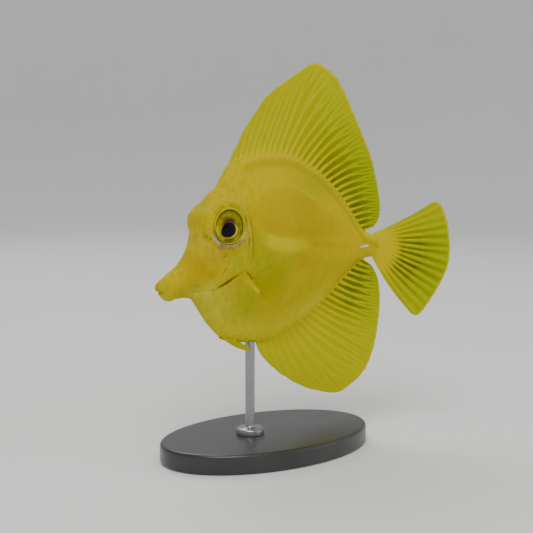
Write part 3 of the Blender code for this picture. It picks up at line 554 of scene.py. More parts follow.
def skinRelief(along, up):
    # how far each point of the skin stands off the plain body, and the maps it carries
    far = np.hypot(along - skin["eye"][0], up - skin["eye"][1])
    socket = skin["socket"]
    rise = -skin["socketDepth"] * fade(-far, -socket, -socket + skin["socketWall"])
    spot, size, tall = skin["brow"]
    rise += tall * blob(along, up, spot, size)
    maps = {"along": along, "up": up}
    for name, (depth, width, grow, shrink) in skin["creases"].items():
        far, share = lineReach(along, up, skin[name])
        maps[name], maps[name + "Ends"] = np.abs(far), within(share, grow, shrink)
        rise -= depth * hump(far, width) * maps[name + "Ends"]

    # the gill cover stands up along its edge, and its slit opens under it
    gill, share = lineReach(along, up, skin["gillEdge"])
    ends, lip, step = within(share, *skin["gillEnds"]), skin["gillLip"], skin["gillStep"]
    rise += ends * np.where(gill < 0, lip[0] * np.exp(gill / lip[1]),
                            -step[0] * np.exp(-gill / step[1]))
    maps["gillFar"], maps["gillEdgeEnds"] = gill, ends
    maps["gillEdge"] = np.where(ends > skin["faint"], gill, skin["offTheLine"])
    slit, share = lineReach(along, up, skin["gillSlit"])
    ends, lip, cut = within(share, *skin["slitEnds"]), skin["slitLip"], skin["slitCut"]
    deep = ends * hump(share - skin["slitDeepest"][0], skin["slitDeepest"][1])
    rise += np.where(slit > 0, ends * lip[0] * np.exp(-slit / lip[1]),
                     -cut[0] * deep * np.exp(slit / cut[1]))
    maps["gillSlit"], maps["gillSlitEnds"] = slit, deep

    # nose, lips, mouth and nostrils
    nose, share = lineReach(along, up, skin["noseFold"])
    depth, width = skin["noseCut"]
    rise -= depth * hump(nose, width) * fade(share, 0.0, skin["noseEnds"][0])
    maps["noseFold"], maps["noseFoldEnds"] = np.abs(nose), within(share, *skin["noseEnds"])
    mouth, share = lineReach(along, up, skin["mouth"])
    ends = fade(-share, -1.0, -0.9)
    tall, out, width = skin["lips"]
    rise += tall * fade(-along, *skin["lipsReach"]) * hump(np.abs(mouth) - out, width)
    depth, width = skin["mouthCut"]
    rise -= depth * hump(mouth, width) * ends
    maps["mouthLine"] = np.where(ends > skin["faint"], np.abs(mouth), skin["offTheLine"])
    tall, out, width = skin["nostrilRim"]
    for centre, size in skin["nostrils"]:
        far = np.hypot((along - centre[0]) / size[0], (up - centre[1]) / size[1])
        rise += tall * hump(far - out, width) - skin["nostrilDepth"] * hump(far, 1.0)

    # the ridge that the pectoral fin grows from, the pit behind it, the hollow along the back
    arm, share = lineReach(along, up, skin["armBase"])
    tall, width = skin["armRidge"]
    rise += tall * hump(arm, width) * within(share, *skin["armRidgeEnds"])
    maps["armBase"], maps["armBaseEnds"] = arm, within(share, *skin["armEnds"])
    grow, full, last = skin["armTip"]
    maps["armTip"] = fade(share, grow, full) * fade(-share, -1.0, -last)
    pit = np.abs(lineReach(along, up, skin["armPit"])[0])
    depth, width = skin["armPitCut"]
    rise -= depth * hump(pit, width)
    maps["armPit"] = pit
    maps["backGap"] = back(along) - up
    depth, level, width = skin["finHollow"]
    rise -= depth * hump(maps["backGap"] - level, width) * fade(along, *skin["finHollowReach"])
    maps.update(skinTones(along, up))
    return rise, maps


# soft patches of colour on the skin, some of them painted light and shade: centre, size, strength
skinPatches = {
    "brown": [((9.0, 1.0), (8.0, 2.6), 0.40), ((-19.8, 2.3), (3.4, 2.6), 1.0),
              ((-22.6, -1.4), (3.6, 2.2), 0.50), ((-10.5, 15.5), (2.2, 2.0), 0.25),
              ((-13.4, 3.9), (1.8, 0.6), 0.60)],
    "green": [((-0.6, -0.6), (4.6, 4.2), 0.70), ((-8.8, -8.2), (3.4, 4.4), 1.0),
              ((-10.9, 3.0), (2.4, 3.8), 0.60), ((-5.0, 2.6), (3.0, 5.2), 0.75),
              ((13.0, 19.0), (7.5, 3.0), 0.60), ((4.0, -9.5), (8.0, 4.0), 0.35),
              ((-7.0, -4.6), (2.6, 3.4), 0.40), ((1.4, -14.2), (4.4, 2.6), 0.45)],
    # the last pale patch is painted light, lifting the belly front out of the shade of the fins
    # and the rod; the others are pale tones of the head
    "pale": [((-16.5, -8.0), (5.0, 4.6), 0.8), ((-27.6, -5.0), (1.3, 0.9), 0.95),
             ((-20.5, -4.9), (3.6, 1.0), 0.8), ((-13.2, 1.4), (2.4, 1.6), 0.35),
             ((-17.0, -3.4), (2.0, 1.2), 0.5), ((-8.4, -14.2), (4.6, 2.8), 0.75)],
    "shade": [((2.5, 21.5), (7.0, 1.4), 0.20), ((-7.2, 9.4), (0.8, 5.2), 0.55)],
    # bright patches are mostly painted light: lighter where light falls on the snout, forehead,
    # nape and back, and lifted on the flank, belly and tail stalk against their shading
    "bright": [((-19.4, 9.5), (3.4, 7.0), 1.0), ((-26.0, -0.4), (4.6, 2.6), 0.9),
               ((-11.5, 19.0), (7.5, 6.0), 1.0), ((-1.0, 21.5), (10.0, 4.0), 0.9),
               ((0.0, 13.0), (9.0, 5.0), 0.45), ((5.0, -11.5), (11.0, 4.6), 0.8),
               ((21.0, 5.5), (6.5, 7.0), 0.55),
               ((32.0, 3.8), (6.0, 4.5), 1.0), ((17.0, 13.5), (6.0, 3.0), 0.5)],
    "rosy": [((-16.9, 4.4), (2.6, 1.2), 0.45), ((-19.2, 6.6), (1.2, 1.8), 0.4),
             ((-8.9, 8.6), (0.9, 3.6), 0.6)],
}
fieldPower, streakPower, arcPower = 0.64, 0.75, 0.70
wedgePower = {"bright": 0.75, "under": 0.42}


def skinTones(along, up):
    tones = {}
    for name, spots in skinPatches.items():
        tones[name] = sum(power * blob(along, up, centre, size) for centre, size, power in spots)
    # the brown field above the middle line, the pale wedge below it and the streak behind
    arc = up - smoothLine(skin["fieldTop"])(along)
    low = smoothLine(skin["fieldFoot"])(along)
    ends = fade(along, -7.2, -4.6) * (1 - 0.5 * fade(along, 19.0, 26.0))
    tones["brown"] += fieldPower * fade(-arc, -0.3, 1.0) * fade(up - low, -0.4, 2.2) * ends
    tones["brown"] += streakPower * hump(up - low + 0.5, 0.75) * fade(along, 7.0, 11.0)
    wedge = fade(low - up, -0.3, 0.5) * fade(up - smoothLine(skin["wedgeFoot"])(along), -0.5, 0.9)
    wedge *= fade(along, -5.2, -2.6) * fade(-along, -12.5, -2.0)
    line = hump(arc - 0.25, 0.42) * fade(along, -7.0, -4.0) * fade(-along, -15.0, -9.0)
    tones["bright"] += wedgePower["bright"] * wedge + arcPower * line
    # painted light: the underside of the belly, which turns from the light, is made paler; the
    # pale wedge below the middle line takes the same colour as a tone of its own
    tones["under"] = fade(belly(along) - up, -7.5, -0.5) * fade(along, -20.0, -12.0) \
        * fade(-along, -22.0, -12.0) + wedgePower["under"] * wedge
    return {name: np.clip(values, 0, 1) for name, values in tones.items()}


# colours of the skin, those of its patches with how strongly they cover
skinPaint = {
    "base": (0.49, 0.392, 0.0), "deep": (0.44, 0.358, 0.0),
    "brown": (0.85, (0.385, 0.242, 0.0)), "green": (0.82, (0.31, 0.337, 0.008)),
    "pale": (0.80, (0.54, 0.50, 0.04)), "shade": (0.80, (0.29, 0.24, 0.0)),
    # bright is the pale wedge and arc and, for the most part, painted light; under is painted
    # light on the belly's underside and the pale tone of the wedge
    "bright": (0.90, (0.575, 0.448, 0.0)), "rosy": (0.70, (0.46, 0.33, 0.06)),
    "under": (0.95, (0.64, 0.575, 0.01)),
    # dark, slit and socket are painted shade in the creases, the gill slit and the eye socket;
    # light and arm are painted highlights on lips and ridges, light also the pale chin line
    "dark": (0.060, 0.036, 0.002), "light": (0.68, 0.58, 0.0), "arm": (0.60, 0.43, 0.0),
    "slit": (0.085, 0.036, 0.008), "nostril": (0.16, 0.08, 0.05),
    "crescent": (0.66, 0.55, 0.38), "belowCrescent": (0.25, 0.13, 0.05),
    "overEye": (0.26, 0.18, 0.0), "socket": (0.020, 0.014, 0.003),
}
skinGrain = {
    # upright streaks, freckles and pale flecks: part of the noise, strength and colour
    "streaks": (0.45, 0.72, 0.32, (0.29, 0.235, 0.0)),
    "freckles": (0.50, 0.70, 0.30, (0.32, 0.21, 0.0)),
    "flecks": (0.48, 0.30, 0.24, (0.66, 0.55, 0.0)),
    # the same for the dark and pale strands along the edge of the gill cover
    "strands": [(0.50, 0.66, 0.42, (0.22, 0.14, 0.03)), (0.47, 0.32, 0.30, (0.66, 0.53, 0.14))],
}
# lines on the skin: map, its ends, distance off the line, width, how much of the width is
# full, strength, colour, and whether the mottling breaks it up
# the dark lines are painted shade in the creases, the gill slit, the mouth and the pit behind the
# pectoral fin; the light lines beside the folds and the arm lines are painted highlights on their
# raised lips and on the pectoral ridge, while the chin line is a pale mark of the skin
skinLines = [
    ("gillFold", "gillFoldEnds", 0.0, 0.30, 0.15, 0.60, "dark", True),
    ("gillEdge", "gillEdgeEnds", 0.15, 0.24, 0.15, 0.65, "dark", True),
    ("cheekFold", "cheekFoldEnds", 0.0, 0.22, 0.15, 0.40, "dark", True),
    ("noseFold", "noseFoldEnds", 0.0, 0.45, 0.15, 0.15, "dark", True),
    ("cheekLine", "cheekLineEnds", 0.0, 0.34, 0.15, 0.45, "dark", True),
    ("armPit", None, 0.0, 0.45, 0.15, 0.60, "dark", False),
    ("gillSlit", "gillSlitEnds", -0.12, 0.42, 0.15, 0.95, "slit", False),
    ("mouthLine", None, 0.0, 0.14, 0.15, 0.20, "dark", False),
    ("gillEdge", "gillEdgeEnds", -0.45, 0.30, 0.0, 0.22, "light", False),
    ("gillSlit", "gillSlitEnds", 0.45, 0.32, 0.0, 0.35, "light", False),
    ("cheekFold", "cheekFoldEnds", 0.45, 0.28, 0.0, 0.25, "light", False),
    ("chinLine", "chinLineEnds", 0.0, 0.32, 0.0, 0.60, "light", False),
    ("armBase", "armBaseEnds", 0.10, 1.10, 0.0, 0.75, "arm", False),
    ("armBase", "armTip", 0.0, 0.50, 0.0, 0.90, "light", False),
]


def skinMaterial():
    material, tree, shader = newMaterial("tang skin", 0.50, 0.11, sheenTint=yellowSheen)
    mottle = noise(tree, objectPlace(tree), 700.0, 4.0, 0.65)
    soft = noise(tree, objectPlace(tree), 170.0, 3.0, 0.5)
    colour = blend(tree, span(tree, soft, 0.3, 0.7), skinPaint["base"], skinPaint["deep"])
    # patches of colour, among them painted light in bright and under, and painted shade in shade
    for name in ("brown", "green", "pale", "shade", "bright", "rosy", "under"):
        power, tint = skinPaint[name]
        colour = blend(tree, times(tree, attribute(tree, name), power), colour, tint)

    # fine upright streaks and freckles, weaker on the flank than on the head
    along, up = attribute(tree, "along"), attribute(tree, "up")
    upright = noise(tree, objectPlace(tree, (1.0, 1.0, 0.16)), 1500.0, 3.0, 0.6)
    plain = span(tree, along, -8.0, -1.0, 1.0, 0.5)
    for value, key in ((upright, "streaks"), (mottle, "freckles"), (mottle, "flecks")):
        low, high, power, tint = skinGrain[key]
        share = times(tree, span(tree, value, low, high, 0.0, power), plain)
        colour = blend(tree, share, colour, tint)

    # painted highlight where the fin rises from the back, and the painted soft shadow under it
    gap = attribute(tree, "backGap")
    rear = span(tree, along, -10.0, -6.0)
    crest = times(tree, span(tree, gap, 1.5, 0.4), rear, 0.6)
    colour = blend(tree, crest, colour, skinPaint["light"])
    shade = times(tree, span(tree, gap, 1.3, 2.2), span(tree, gap, 4.2, 2.6), rear, 0.38)
    colour = blend(tree, shade, colour, skinPaint["shade"][1])

    # fine broken strands along the edge of the gill cover
    gill = attribute(tree, "gillFar")
    thread = tree.nodes.new("ShaderNodeCombineXYZ")
    plug(tree, thread.inputs[0], gill)
    plug(tree, thread.inputs[1], times(tree, up, 0.26))
    strands = noise(tree, thread.outputs[0], 2.2, 3.0, 0.6)
    bundle = times(tree, span(tree, gapTo(tree, gill, -0.9), 2.2, 0.9),
                   span(tree, up, -2.0, 8.0), span(tree, up, 19.0, 13.0))
    for low, high, power, tint in skinGrain["strands"]:
        share = times(tree, span(tree, strands, low, high, 0.0, power), bundle)
        colour = blend(tree, share, colour, tint)

    broken = span(tree, noise(tree, objectPlace(tree, (1.0, 1.0, 0.5)), 900.0, 3.0, 0.6),
                  0.38, 0.60, 0.1, 1.0)
    # dark lines painted as shade in creases and slits, light lines painted as highlights on the
    # lips and ridges beside them
    for name, ends, centre, width, full, power, tint, rough in skinLines:
        off = gapTo(tree, attribute(tree, name), centre)
        line = span(tree, off, width, width * full, 0.0, power)
        if ends:
            line = times(tree, line, attribute(tree, ends))
        if rough:
            line = times(tree, line, broken)
        colour = blend(tree, line, colour, skinPaint[tint])

    # reddish brown about the nostrils
    x, z = flatPlace(tree, skin["nostrils"][0][0])
    smudge = span(tree, distance(tree, x, z, (0.75, 1.0)), 1.3, 0.2, 0.0, 0.6)
    colour = blend(tree, times(tree, smudge, broken), colour, skinPaint["nostril"])
    # pale crescent below and behind the eye, olive above it, and painted shade in the socket
    x, z = flatPlace(tree, skin["eye"])
    far = distance(tree, x, z)
    low = maths(tree, "SUBTRACT", times(tree, x, 0.08), z)
    ring = times(tree, span(tree, far, 4.85, 4.35), span(tree, low, 0.6, 3.4), 0.85)
    colour = blend(tree, ring, colour, skinPaint["crescent"])
    ring = times(tree, span(tree, far, 5.9, 4.9), span(tree, low, 2.2, 4.4), broken, 0.85)
    colour = blend(tree, ring, colour, skinPaint["belowCrescent"])
    high = times(tree, span(tree, far, 6.0, 4.6), span(tree, low, -1.5, -4.0), broken, 0.5)
    colour = blend(tree, high, colour, skinPaint["overEye"])
    colour = blend(tree, span(tree, far, 3.8, 3.65), colour, skinPaint["socket"])
    plug(tree, shader.inputs["Base Color"], colour)
    shader.inputs["Subsurface Weight"].default_value = 0.10
    shader.inputs["Subsurface Radius"].default_value = (0.8, 0.48, 0.08)
    shader.inputs["Subsurface Scale"].default_value = 0.0006
    # tiny scales in upright rows
    scales = cells(tree, objectPlace(tree, (2200.0, 1600.0, 1600.0)), 1.0)
    first = relief(tree, shader, scales, 0.22, 0.00010)
    relief(tree, shader, mottle, 0.18, 0.0002, first)
    return material


eyes = {
    "radius": 3.84, "depth": 1.25, "sink": 0.46, "bulge": (0.08, 0.5),
    "segments": 96, "rings": 64, "rimSegments": 144, "rimRings": 24, "rimRound": 0.25,
    "pupil": (-13.98, 9.3), "pupilSize": (1.76, 1.56),
    # the pupil runs out to a blunt point, down and forward
    "corner": (0.62, 0.42), "cornerSize": (1.22, 1.12), "cornerSoft": 0.15,
    "rimRadius": 3.93, "rimWidth": 0.25, "rimThick": 0.32, "rimOut": 0.12,
    # the rim is fullest above and ahead of the eye
    "rimPlain": 0.85, "rimFull": 0.35,
}
eyePaint = {
    "front": (0.32, 0.25, 0.0), "rear": (0.24, 0.225, 0.0),
    "grainDark": (0.12, 0.085, 0.0), "grainPale": (0.50, 0.42, 0.0),
    "lowRing": (0.60, 0.50, 0.0), "browRing": (0.14, 0.115, 0.008),
    "goldFront": (0.34, 0.235, 0.0), "goldRear": (0.60, 0.51, 0.0),
    "goldTop": (0.10, 0.036, 0.010),
    # the edge colour is painted shade round the margin of the ball, under the rim
    "pupil": (0.003, 0.004, 0.007), "edge": (0.035, 0.026, 0.002),
    # shades of the iris: place from the pupil, size, strength, colour
    "shades": [
        ((0.0, 1.95), (1.9, 1.15), 0.95, (0.095, 0.060, 0.008)),
        ((0.35, 1.85), (1.3, 0.75), 0.90, (0.030, 0.017, 0.004)),
        ((0.2, -2.35), (1.9, 0.70), 0.85, (0.070, 0.070, 0.003)),
        ((-1.6, -1.3), (0.9, 0.7), 0.45, (0.22, 0.10, 0.0)),
        ((-2.3, 1.4), (0.8, 1.2), 0.25, (0.52, 0.32, 0.0)),
    ],
}


def onTheEye(side, points):
    # from an eye's own place to its place on the head, in the turn
    place = Matrix.Translation((skin["eye"][0], side * skin["orbitLevel"], skin["eye"][1])) \
        @ Matrix.Rotation(side * math.atan(skin["orbitLean"]), 4, "X")
    return layInTurn(moved(points, place))


def moved(points, matrix):
    m = np.array(matrix)
    return points @ m[:3, :3].T + m[:3, 3]


def makeEye(side, ballFinish, foldFinish):
    bpy.ops.mesh.primitive_uv_sphere_add(segments=eyes["segments"], ring_count=eyes["rings"],
                                         radius=1.0, location=(0, 0, 0))
    ball = bpy.context.object
    points = readPoints(ball)[:, [0, 2, 1]]
    tall, reach = eyes["bulge"]
    points[:, 1] *= 1.0 + tall * hump(np.hypot(points[:, 0], points[:, 2]), reach)
    points *= np.array([eyes["radius"], eyes["depth"], eyes["radius"]])
    points[:, 1] -= side * eyes["sink"]
    writePoints(ball, onTheEye(side, points))
    finish(ball, "eye_ball_" + sideWord[side], ballFinish, "eye", "eye_" + sideWord[side])

    thin = eyes["rimRound"]
    bpy.ops.mesh.primitive_torus_add(major_segments=eyes["rimSegments"],
                                     minor_segments=eyes["rimRings"], major_radius=1.0,
                                     minor_radius=thin, location=(0, 0, 0))
    rim = bpy.context.object
    points = readPoints(rim)[:, [0, 2, 1]]
    spoke = np.hypot(points[:, 0], points[:, 2])
    way = points[:, [0, 2]] / spoke[:, None]
    reach = eyes["rimRadius"] + (spoke - 1.0) / thin * eyes["rimWidth"]
    full = eyes["rimPlain"] + eyes["rimFull"] * (way[:, 1] - way[:, 0])
    out = side * eyes["rimOut"] + points[:, 1] / thin * eyes["rimThick"] * full
    points = np.stack([way[:, 0] * reach, out, way[:, 1] * reach], axis=1)
    writePoints(rim, onTheEye(side, points))
    finish(rim, "eye_rim_" + sideWord[side], foldFinish, "head_skin")


def eyeMaterial():
    material, tree, shader = newMaterial("tang eye", 0.20, 0.08, 0.08, 0.03)
    paint = eyePaint
    px, pz = flatPlace(tree, eyes["pupil"])
    pupil = distance(tree, px, pz, eyes["pupilSize"])
    corner = distance(tree, maths(tree, "ADD", px, eyes["corner"][0]),
                      maths(tree, "ADD", pz, eyes["corner"][1]), eyes["cornerSize"])
    pupil = maths(tree, "SMOOTH_MIN", pupil, corner, eyes["cornerSoft"])
    x, z = flatPlace(tree, skin["eye"])
    far = distance(tree, x, z)
    grain = noise(tree, objectPlace(tree), 1000.0, 4.0, 0.65)
    colour = blend(tree, span(tree, x, -2.5, 2.8), paint["front"], paint["rear"])
    colour = blend(tree, span(tree, grain, 0.48, 0.66, 0.0, 0.75), colour, paint["grainDark"])
    colour = blend(tree, span(tree, grain, 0.47, 0.32, 0.0, 0.50), colour, paint["grainPale"])
    # bright lower ring, and the shade under the brow
    tilted = maths(tree, "MULTIPLY_ADD", x, 0.5, z)
    ring = times(tree, span(tree, far, 2.9, 3.2), span(tree, tilted, 0.2, -1.8), 0.8)
    colour = blend(tree, ring, colour, paint["lowRing"])
    tilted = maths(tree, "MULTIPLY_ADD", x, -0.30, z)
    ring = times(tree, span(tree, far, 2.7, 3.0), span(tree, tilted, 0.6, 1.9), 0.60)
    colour = blend(tree, ring, colour, paint["browRing"])
    for shift, size, power, tint in paint["shades"]:
        off = distance(tree, maths(tree, "SUBTRACT", px, shift[0]),
                       maths(tree, "SUBTRACT", pz, shift[1]), size)
        colour = blend(tree, span(tree, off, 1.3, 0.25, 0.0, power), colour, tint)
    # ring about the pupil: bright behind, red-brown above, gold ahead and below
    gold = blend(tree, span(tree, px, 0.2, 1.5), paint["goldFront"], paint["goldRear"])
    gold = blend(tree, span(tree, pz, 0.5, 1.5), gold, paint["goldTop"])
    ring = gapTo(tree, pupil, 1.17)
    colour = blend(tree, span(tree, ring, 0.22, 0.06, 0.0, 0.92), colour, gold)
    colour = blend(tree, span(tree, pupil, 1.07, 0.98), colour, paint["pupil"])
    # painted shade round the margin of the ball, where the rim overhangs it
    colour = blend(tree, span(tree, far, 3.58, 3.72, 0.0, 0.6), colour, paint["edge"])
    plug(tree, shader.inputs["Base Color"], colour)
    relief(tree, shader, grain, 0.05, 0.0001)
    return material


rimPaint = {
    "bright": (0.58, 0.50, 0.0), "dull": (0.45, 0.385, 0.0), "olive": (0.33, 0.30, 0.0),
    "line": (0.025, 0.018, 0.006), "pale": (0.62, 0.52, 0.34), "outside": (0.07, 0.05, 0.002),
}


def rimMaterial():
    material, tree, shader = newMaterial("eye rim skin", 0.45, 0.14, sheenTint=yellowSheen)
    x, z = flatPlace(tree, skin["eye"])
    far = distance(tree, x, z)
    grain = noise(tree, objectPlace(tree), 900.0, 3.0)
    colour = blend(tree, span(tree, grain, 0.35, 0.75), rimPaint["bright"], rimPaint["dull"])
    # yellow above and ahead, olive behind, a fine dark line and then pale below
    colour = blend(tree, span(tree, x, 1.5, 4.0, 0.0, 0.7), colour, rimPaint["olive"])
    low = span(tree, maths(tree, "MULTIPLY_ADD", x, 0.35, z), -0.8, -3.0)
    line = times(tree, span(tree, gapTo(tree, far, 3.97), 0.18, 0.05), low)
    colour = blend(tree, line, colour, rimPaint["line"])
    pale = times(tree, span(tree, far, 4.03, 4.14), low, 0.85)
    colour = blend(tree, pale, colour, rimPaint["pale"])
    outside = times(tree, span(tree, far, 4.05, 4.16), span(tree, x, -1.0, -3.2), 0.8)
    colour = blend(tree, outside, colour, rimPaint["outside"])
    plug(tree, shader.inputs["Base Color"], colour)
    relief(tree, shader, grain, 0.1, 0.0001)
    return material


fins = {
    "dorsal": {
        "node": "dorsal_fin", "rays": 30, "spines": 5, "root": (-10.2, 27.4), "line": "back",
        "edge": [(-10.4, 24.2), (-7.95, 27.9), (-6.25, 31.0), (-2.4, 35.9), (1.0, 39.6),
                 (8.0, 43.9), (12.5, 46.5), (14.4, 46.8), (16.7, 45.9), (19.4, 44.0),
                 (21.4, 41.1), (23.1, 37.9), (26.3, 31.2), (29.2, 24.3), (30.9, 17.0),
                 (31.4, 12.7), (31.0, 10.1), (29.9, 8.4), (28.7, 7.6)],
        "fan": [(0.0, 0.03), (0.16, 0.29), (0.30, 0.42), (0.42, 0.565), (0.54, 0.675),
                (0.68, 0.798), (0.81, 0.882), (0.93, 0.948), (1.0, 0.985)],
        "bow": [(0.0, 0.0), (0.3, -0.5), (0.7, -0.6), (1.0, 0.0)],
        "flare": (0.50, 0.07, 2.0), "rise": (0.0, 0.02), "branch": 1.0, "crisp": 0.52,
        "wide": (0.335, 0.15),
        "ridge": [(0.0, 0.45), (0.25, 0.55), (0.42, 0.85), (0.55, 1.0), (1.0, 1.0)],
        # darkAlong and darkOut, here and in the other fins, place the painted shade in the folds
        # between the rays
        "darkAlong": [(0.0, 0.05), (0.28, 0.15), (0.42, 0.34), (0.55, 0.66), (0.7, 1.0),
                      (1.0, 0.9)],
        "darkOut": [(0.0, 0.6), (0.04, 1.0), (0.34, 0.90), (0.55, 0.60), (0.78, 0.25),
                    (1.0, 0.1)],
        "greenAlong": [(0.0, 0.05), (0.35, 0.18), (0.55, 0.65), (0.70, 1.0), (1.0, 1.0)],
        "greenOut": [(0.0, 0.0), (0.25, 0.22), (0.55, 0.80), (1.0, 1.0)],
    },
    "anal": {
        "node": "anal_fin", "rays": 23, "spines": 3, "root": (-2.9, 27.0), "line": "belly",
        "edge": [(-2.9, -17.9), (-2.2, -19.2), (-0.6, -21.5), (4.4, -25.8), (11.3, -29.7),
                 (18.2, -31.8), (20.4, -31.9), (22.4, -31.3), (25.6, -29.2), (28.3, -26.1),
                 (30.3, -20.8), (31.4, -14.0), (31.6, -8.5), (31.1, -4.7), (30.1, -2.3),
                 (28.6, -0.2)],
        "fan": [(0.0, 0.03), (0.16, 0.27), (0.24, 0.40), (0.32, 0.53), (0.42, 0.63),
                (0.52, 0.715), (0.65, 0.79), (0.78, 0.872), (0.92, 0.95), (1.0, 0.985)],
        "bow": [(0.0, 0.2), (0.3, 0.5), (0.7, 0.5), (1.0, 0.0)],
        "flare": (0.45, 0.08, 2.0), "rise": (0.0, 0.04), "branch": 1.0, "crisp": 0.52,
        "wide": (0.38, 0.17), "joined": 0.34,
        "ridge": [(0.0, 0.25), (0.30, 0.30), (0.50, 0.55), (0.66, 1.0), (1.0, 1.0)],
        "darkAlong": [(0.0, 0.06), (0.30, 0.12), (0.50, 0.30), (0.66, 0.80), (0.9, 1.0),
                      (1.0, 0.8)],
        "darkOut": [(0.0, 0.3), (0.06, 0.95), (0.45, 1.0), (0.65, 0.65), (0.85, 0.25),
                    (1.0, 0.05)],
        "greenAlong": [(0.0, 0.05), (0.45, 0.15), (0.65, 0.50), (0.82, 0.90), (1.0, 1.0)],
        "greenOut": [(0.0, 0.05), (0.30, 0.25), (0.65, 0.75), (1.0, 1.0)],
    },
    "tail": {
        "node": "tail_fin", "rays": 16, "spines": 0, "line": "stalk",
        "rootKeys": [(29.9, 6.7), (31.3, 5.7), (31.9, 3.7), (31.2, 1.8), (29.5, 0.9)],
        "edge": [(44.9, 14.1), (45.9, 14.1), (47.2, 13.0), (48.6, 9.4), (49.3, 4.9),
                 (49.4, 1.0), (48.7, -2.6), (46.3, -7.4), (42.9, -12.4), (41.5, -13.7),
                 (40.2, -13.7), (39.3, -12.9)],
        "fan": [(0.0, 0.0), (1.0, 1.0)],
        "bow": [(0.0, 0.45), (0.3, 0.0), (0.7, 0.0), (1.0, 0.55)],
        "flare": (0.72, 0.17, 1.6), "rise": (0.12, 0.40), "branch": 0.25, "plain": (0.14, 0.36),
        "wide": (0.35, 0.31), "crisp": 0.62, "thread": 0.50,
        "ridge": [(0.0, 0.5), (0.2, 0.85), (0.35, 1.0), (0.8, 1.0), (1.0, 0.5)],
        "rootTone": (0.40, 0.12), "core": 0.75,
        "darkAlong": [(0.0, 0.05), (0.20, 0.35), (0.34, 0.95), (0.72, 1.0), (0.86, 0.6),
                      (1.0, 0.1)],
        "darkOut": [(0.0, 0.0), (0.24, 0.0), (0.33, 1.0), (0.58, 1.0), (0.74, 0.40),
                    (1.0, 0.0)],
        "greenAlong": [(0.0, 0.35), (0.25, 0.80), (0.5, 1.0), (0.80, 0.85), (1.0, 0.45)],
        "greenOut": [(0.0, 0.0), (0.30, 0.05), (0.50, 0.45), (0.75, 1.0), (1.0, 1.0)],
    },
    "columnsPerRay": 20, "rows": 60, "web": 0.26, "sunk": 0.06,
    "rayRoot": 0.24, "rayTip": 0.035, "rayFall": 0.8, "crestRoot": 0.30, "crestTip": 0.10,
    # depth of the notches between soft rays and between spines, and where they lie
    "notch": 0.007, "spineNotch": 0.034, "notchCurve": 1.5, "notchReach": (0.6, 1.0),
    # the spines give way from this far before the first soft ray to this far after it
    "spinesEnd": (0.8, 0.2),
    "waver": 0.006, "waverTurns": (6.3, 1.2), "rootPoints": 80, "edgePoints": 160,
    # the thicker root thins out at both ends of the tail fin, and ahead on the others
    "tailFlare": (0.98, 0.6), "flareStart": 0.06,
    # each ray parts in two and then in four: from, to, and how far apart
    "parting": [(0.42, 0.86, 0.25), (0.72, 1.0, 0.115)],
}


def offRay(count):
    # distance from the nearest ray, 0.5 in the middle of the web
    return np.abs(count - np.round(count))


def rayShape(count, share, branch):
    # 1 on the crest of a ray, 0 in the web between
    off = offRay(count)
    for start, end, apart in fins["parting"]:
        off = np.abs(off - apart * branch * fade(share, start, end))
    wide = fins["crestRoot"] - (fins["crestRoot"] - fins["crestTip"]) * share
    return hump(off, wide)


def scallop(count, outward):
    # the edge of the web draws in between two rays
    return (2 * offRay(count)) ** fins["notchCurve"] * fade(outward, *fins["notchReach"])


def ridgedSheet(name, place, height, sheet, material, node):
    # a grid laid out on the fin, given two faces, then raised along every ray
    columns = (sheet["rays"] - 1) * sheet.get("columnsPerRay", fins["columnsPerRay"])
    bpy.ops.mesh.primitive_grid_add(x_subdivisions=columns, size=1.0, location=(0, 0, 0),
                                    y_subdivisions=sheet.get("rows", fins["rows"]))
    piece = bpy.context.object
    flat = readPoints(piece)
    across, outward = flat[:, 0] + 0.5, flat[:, 1] + 0.5
    writePoints(piece, place(across, outward))
    bpy.ops.object.modifier_add(type="SOLIDIFY")
    solid = piece.modifiers[-1]
    solid.thickness = sheet.get("web", fins["web"])
    solid.offset = 0.0
    bpy.ops.object.modifier_apply(modifier=solid.name)
    points = readPoints(piece)
    half = len(points) // 2
    way = points[:half] - points[half:]
    way /= np.linalg.norm(way, axis=1)[:, None] + 1e-9
    lift = height(across, outward)[:, None]
    points[:half] += way * lift
    points[half:] -= way * lift
    writePoints(piece, layInTurn(points))
    finish(piece, name, material, "fin_skin", node)


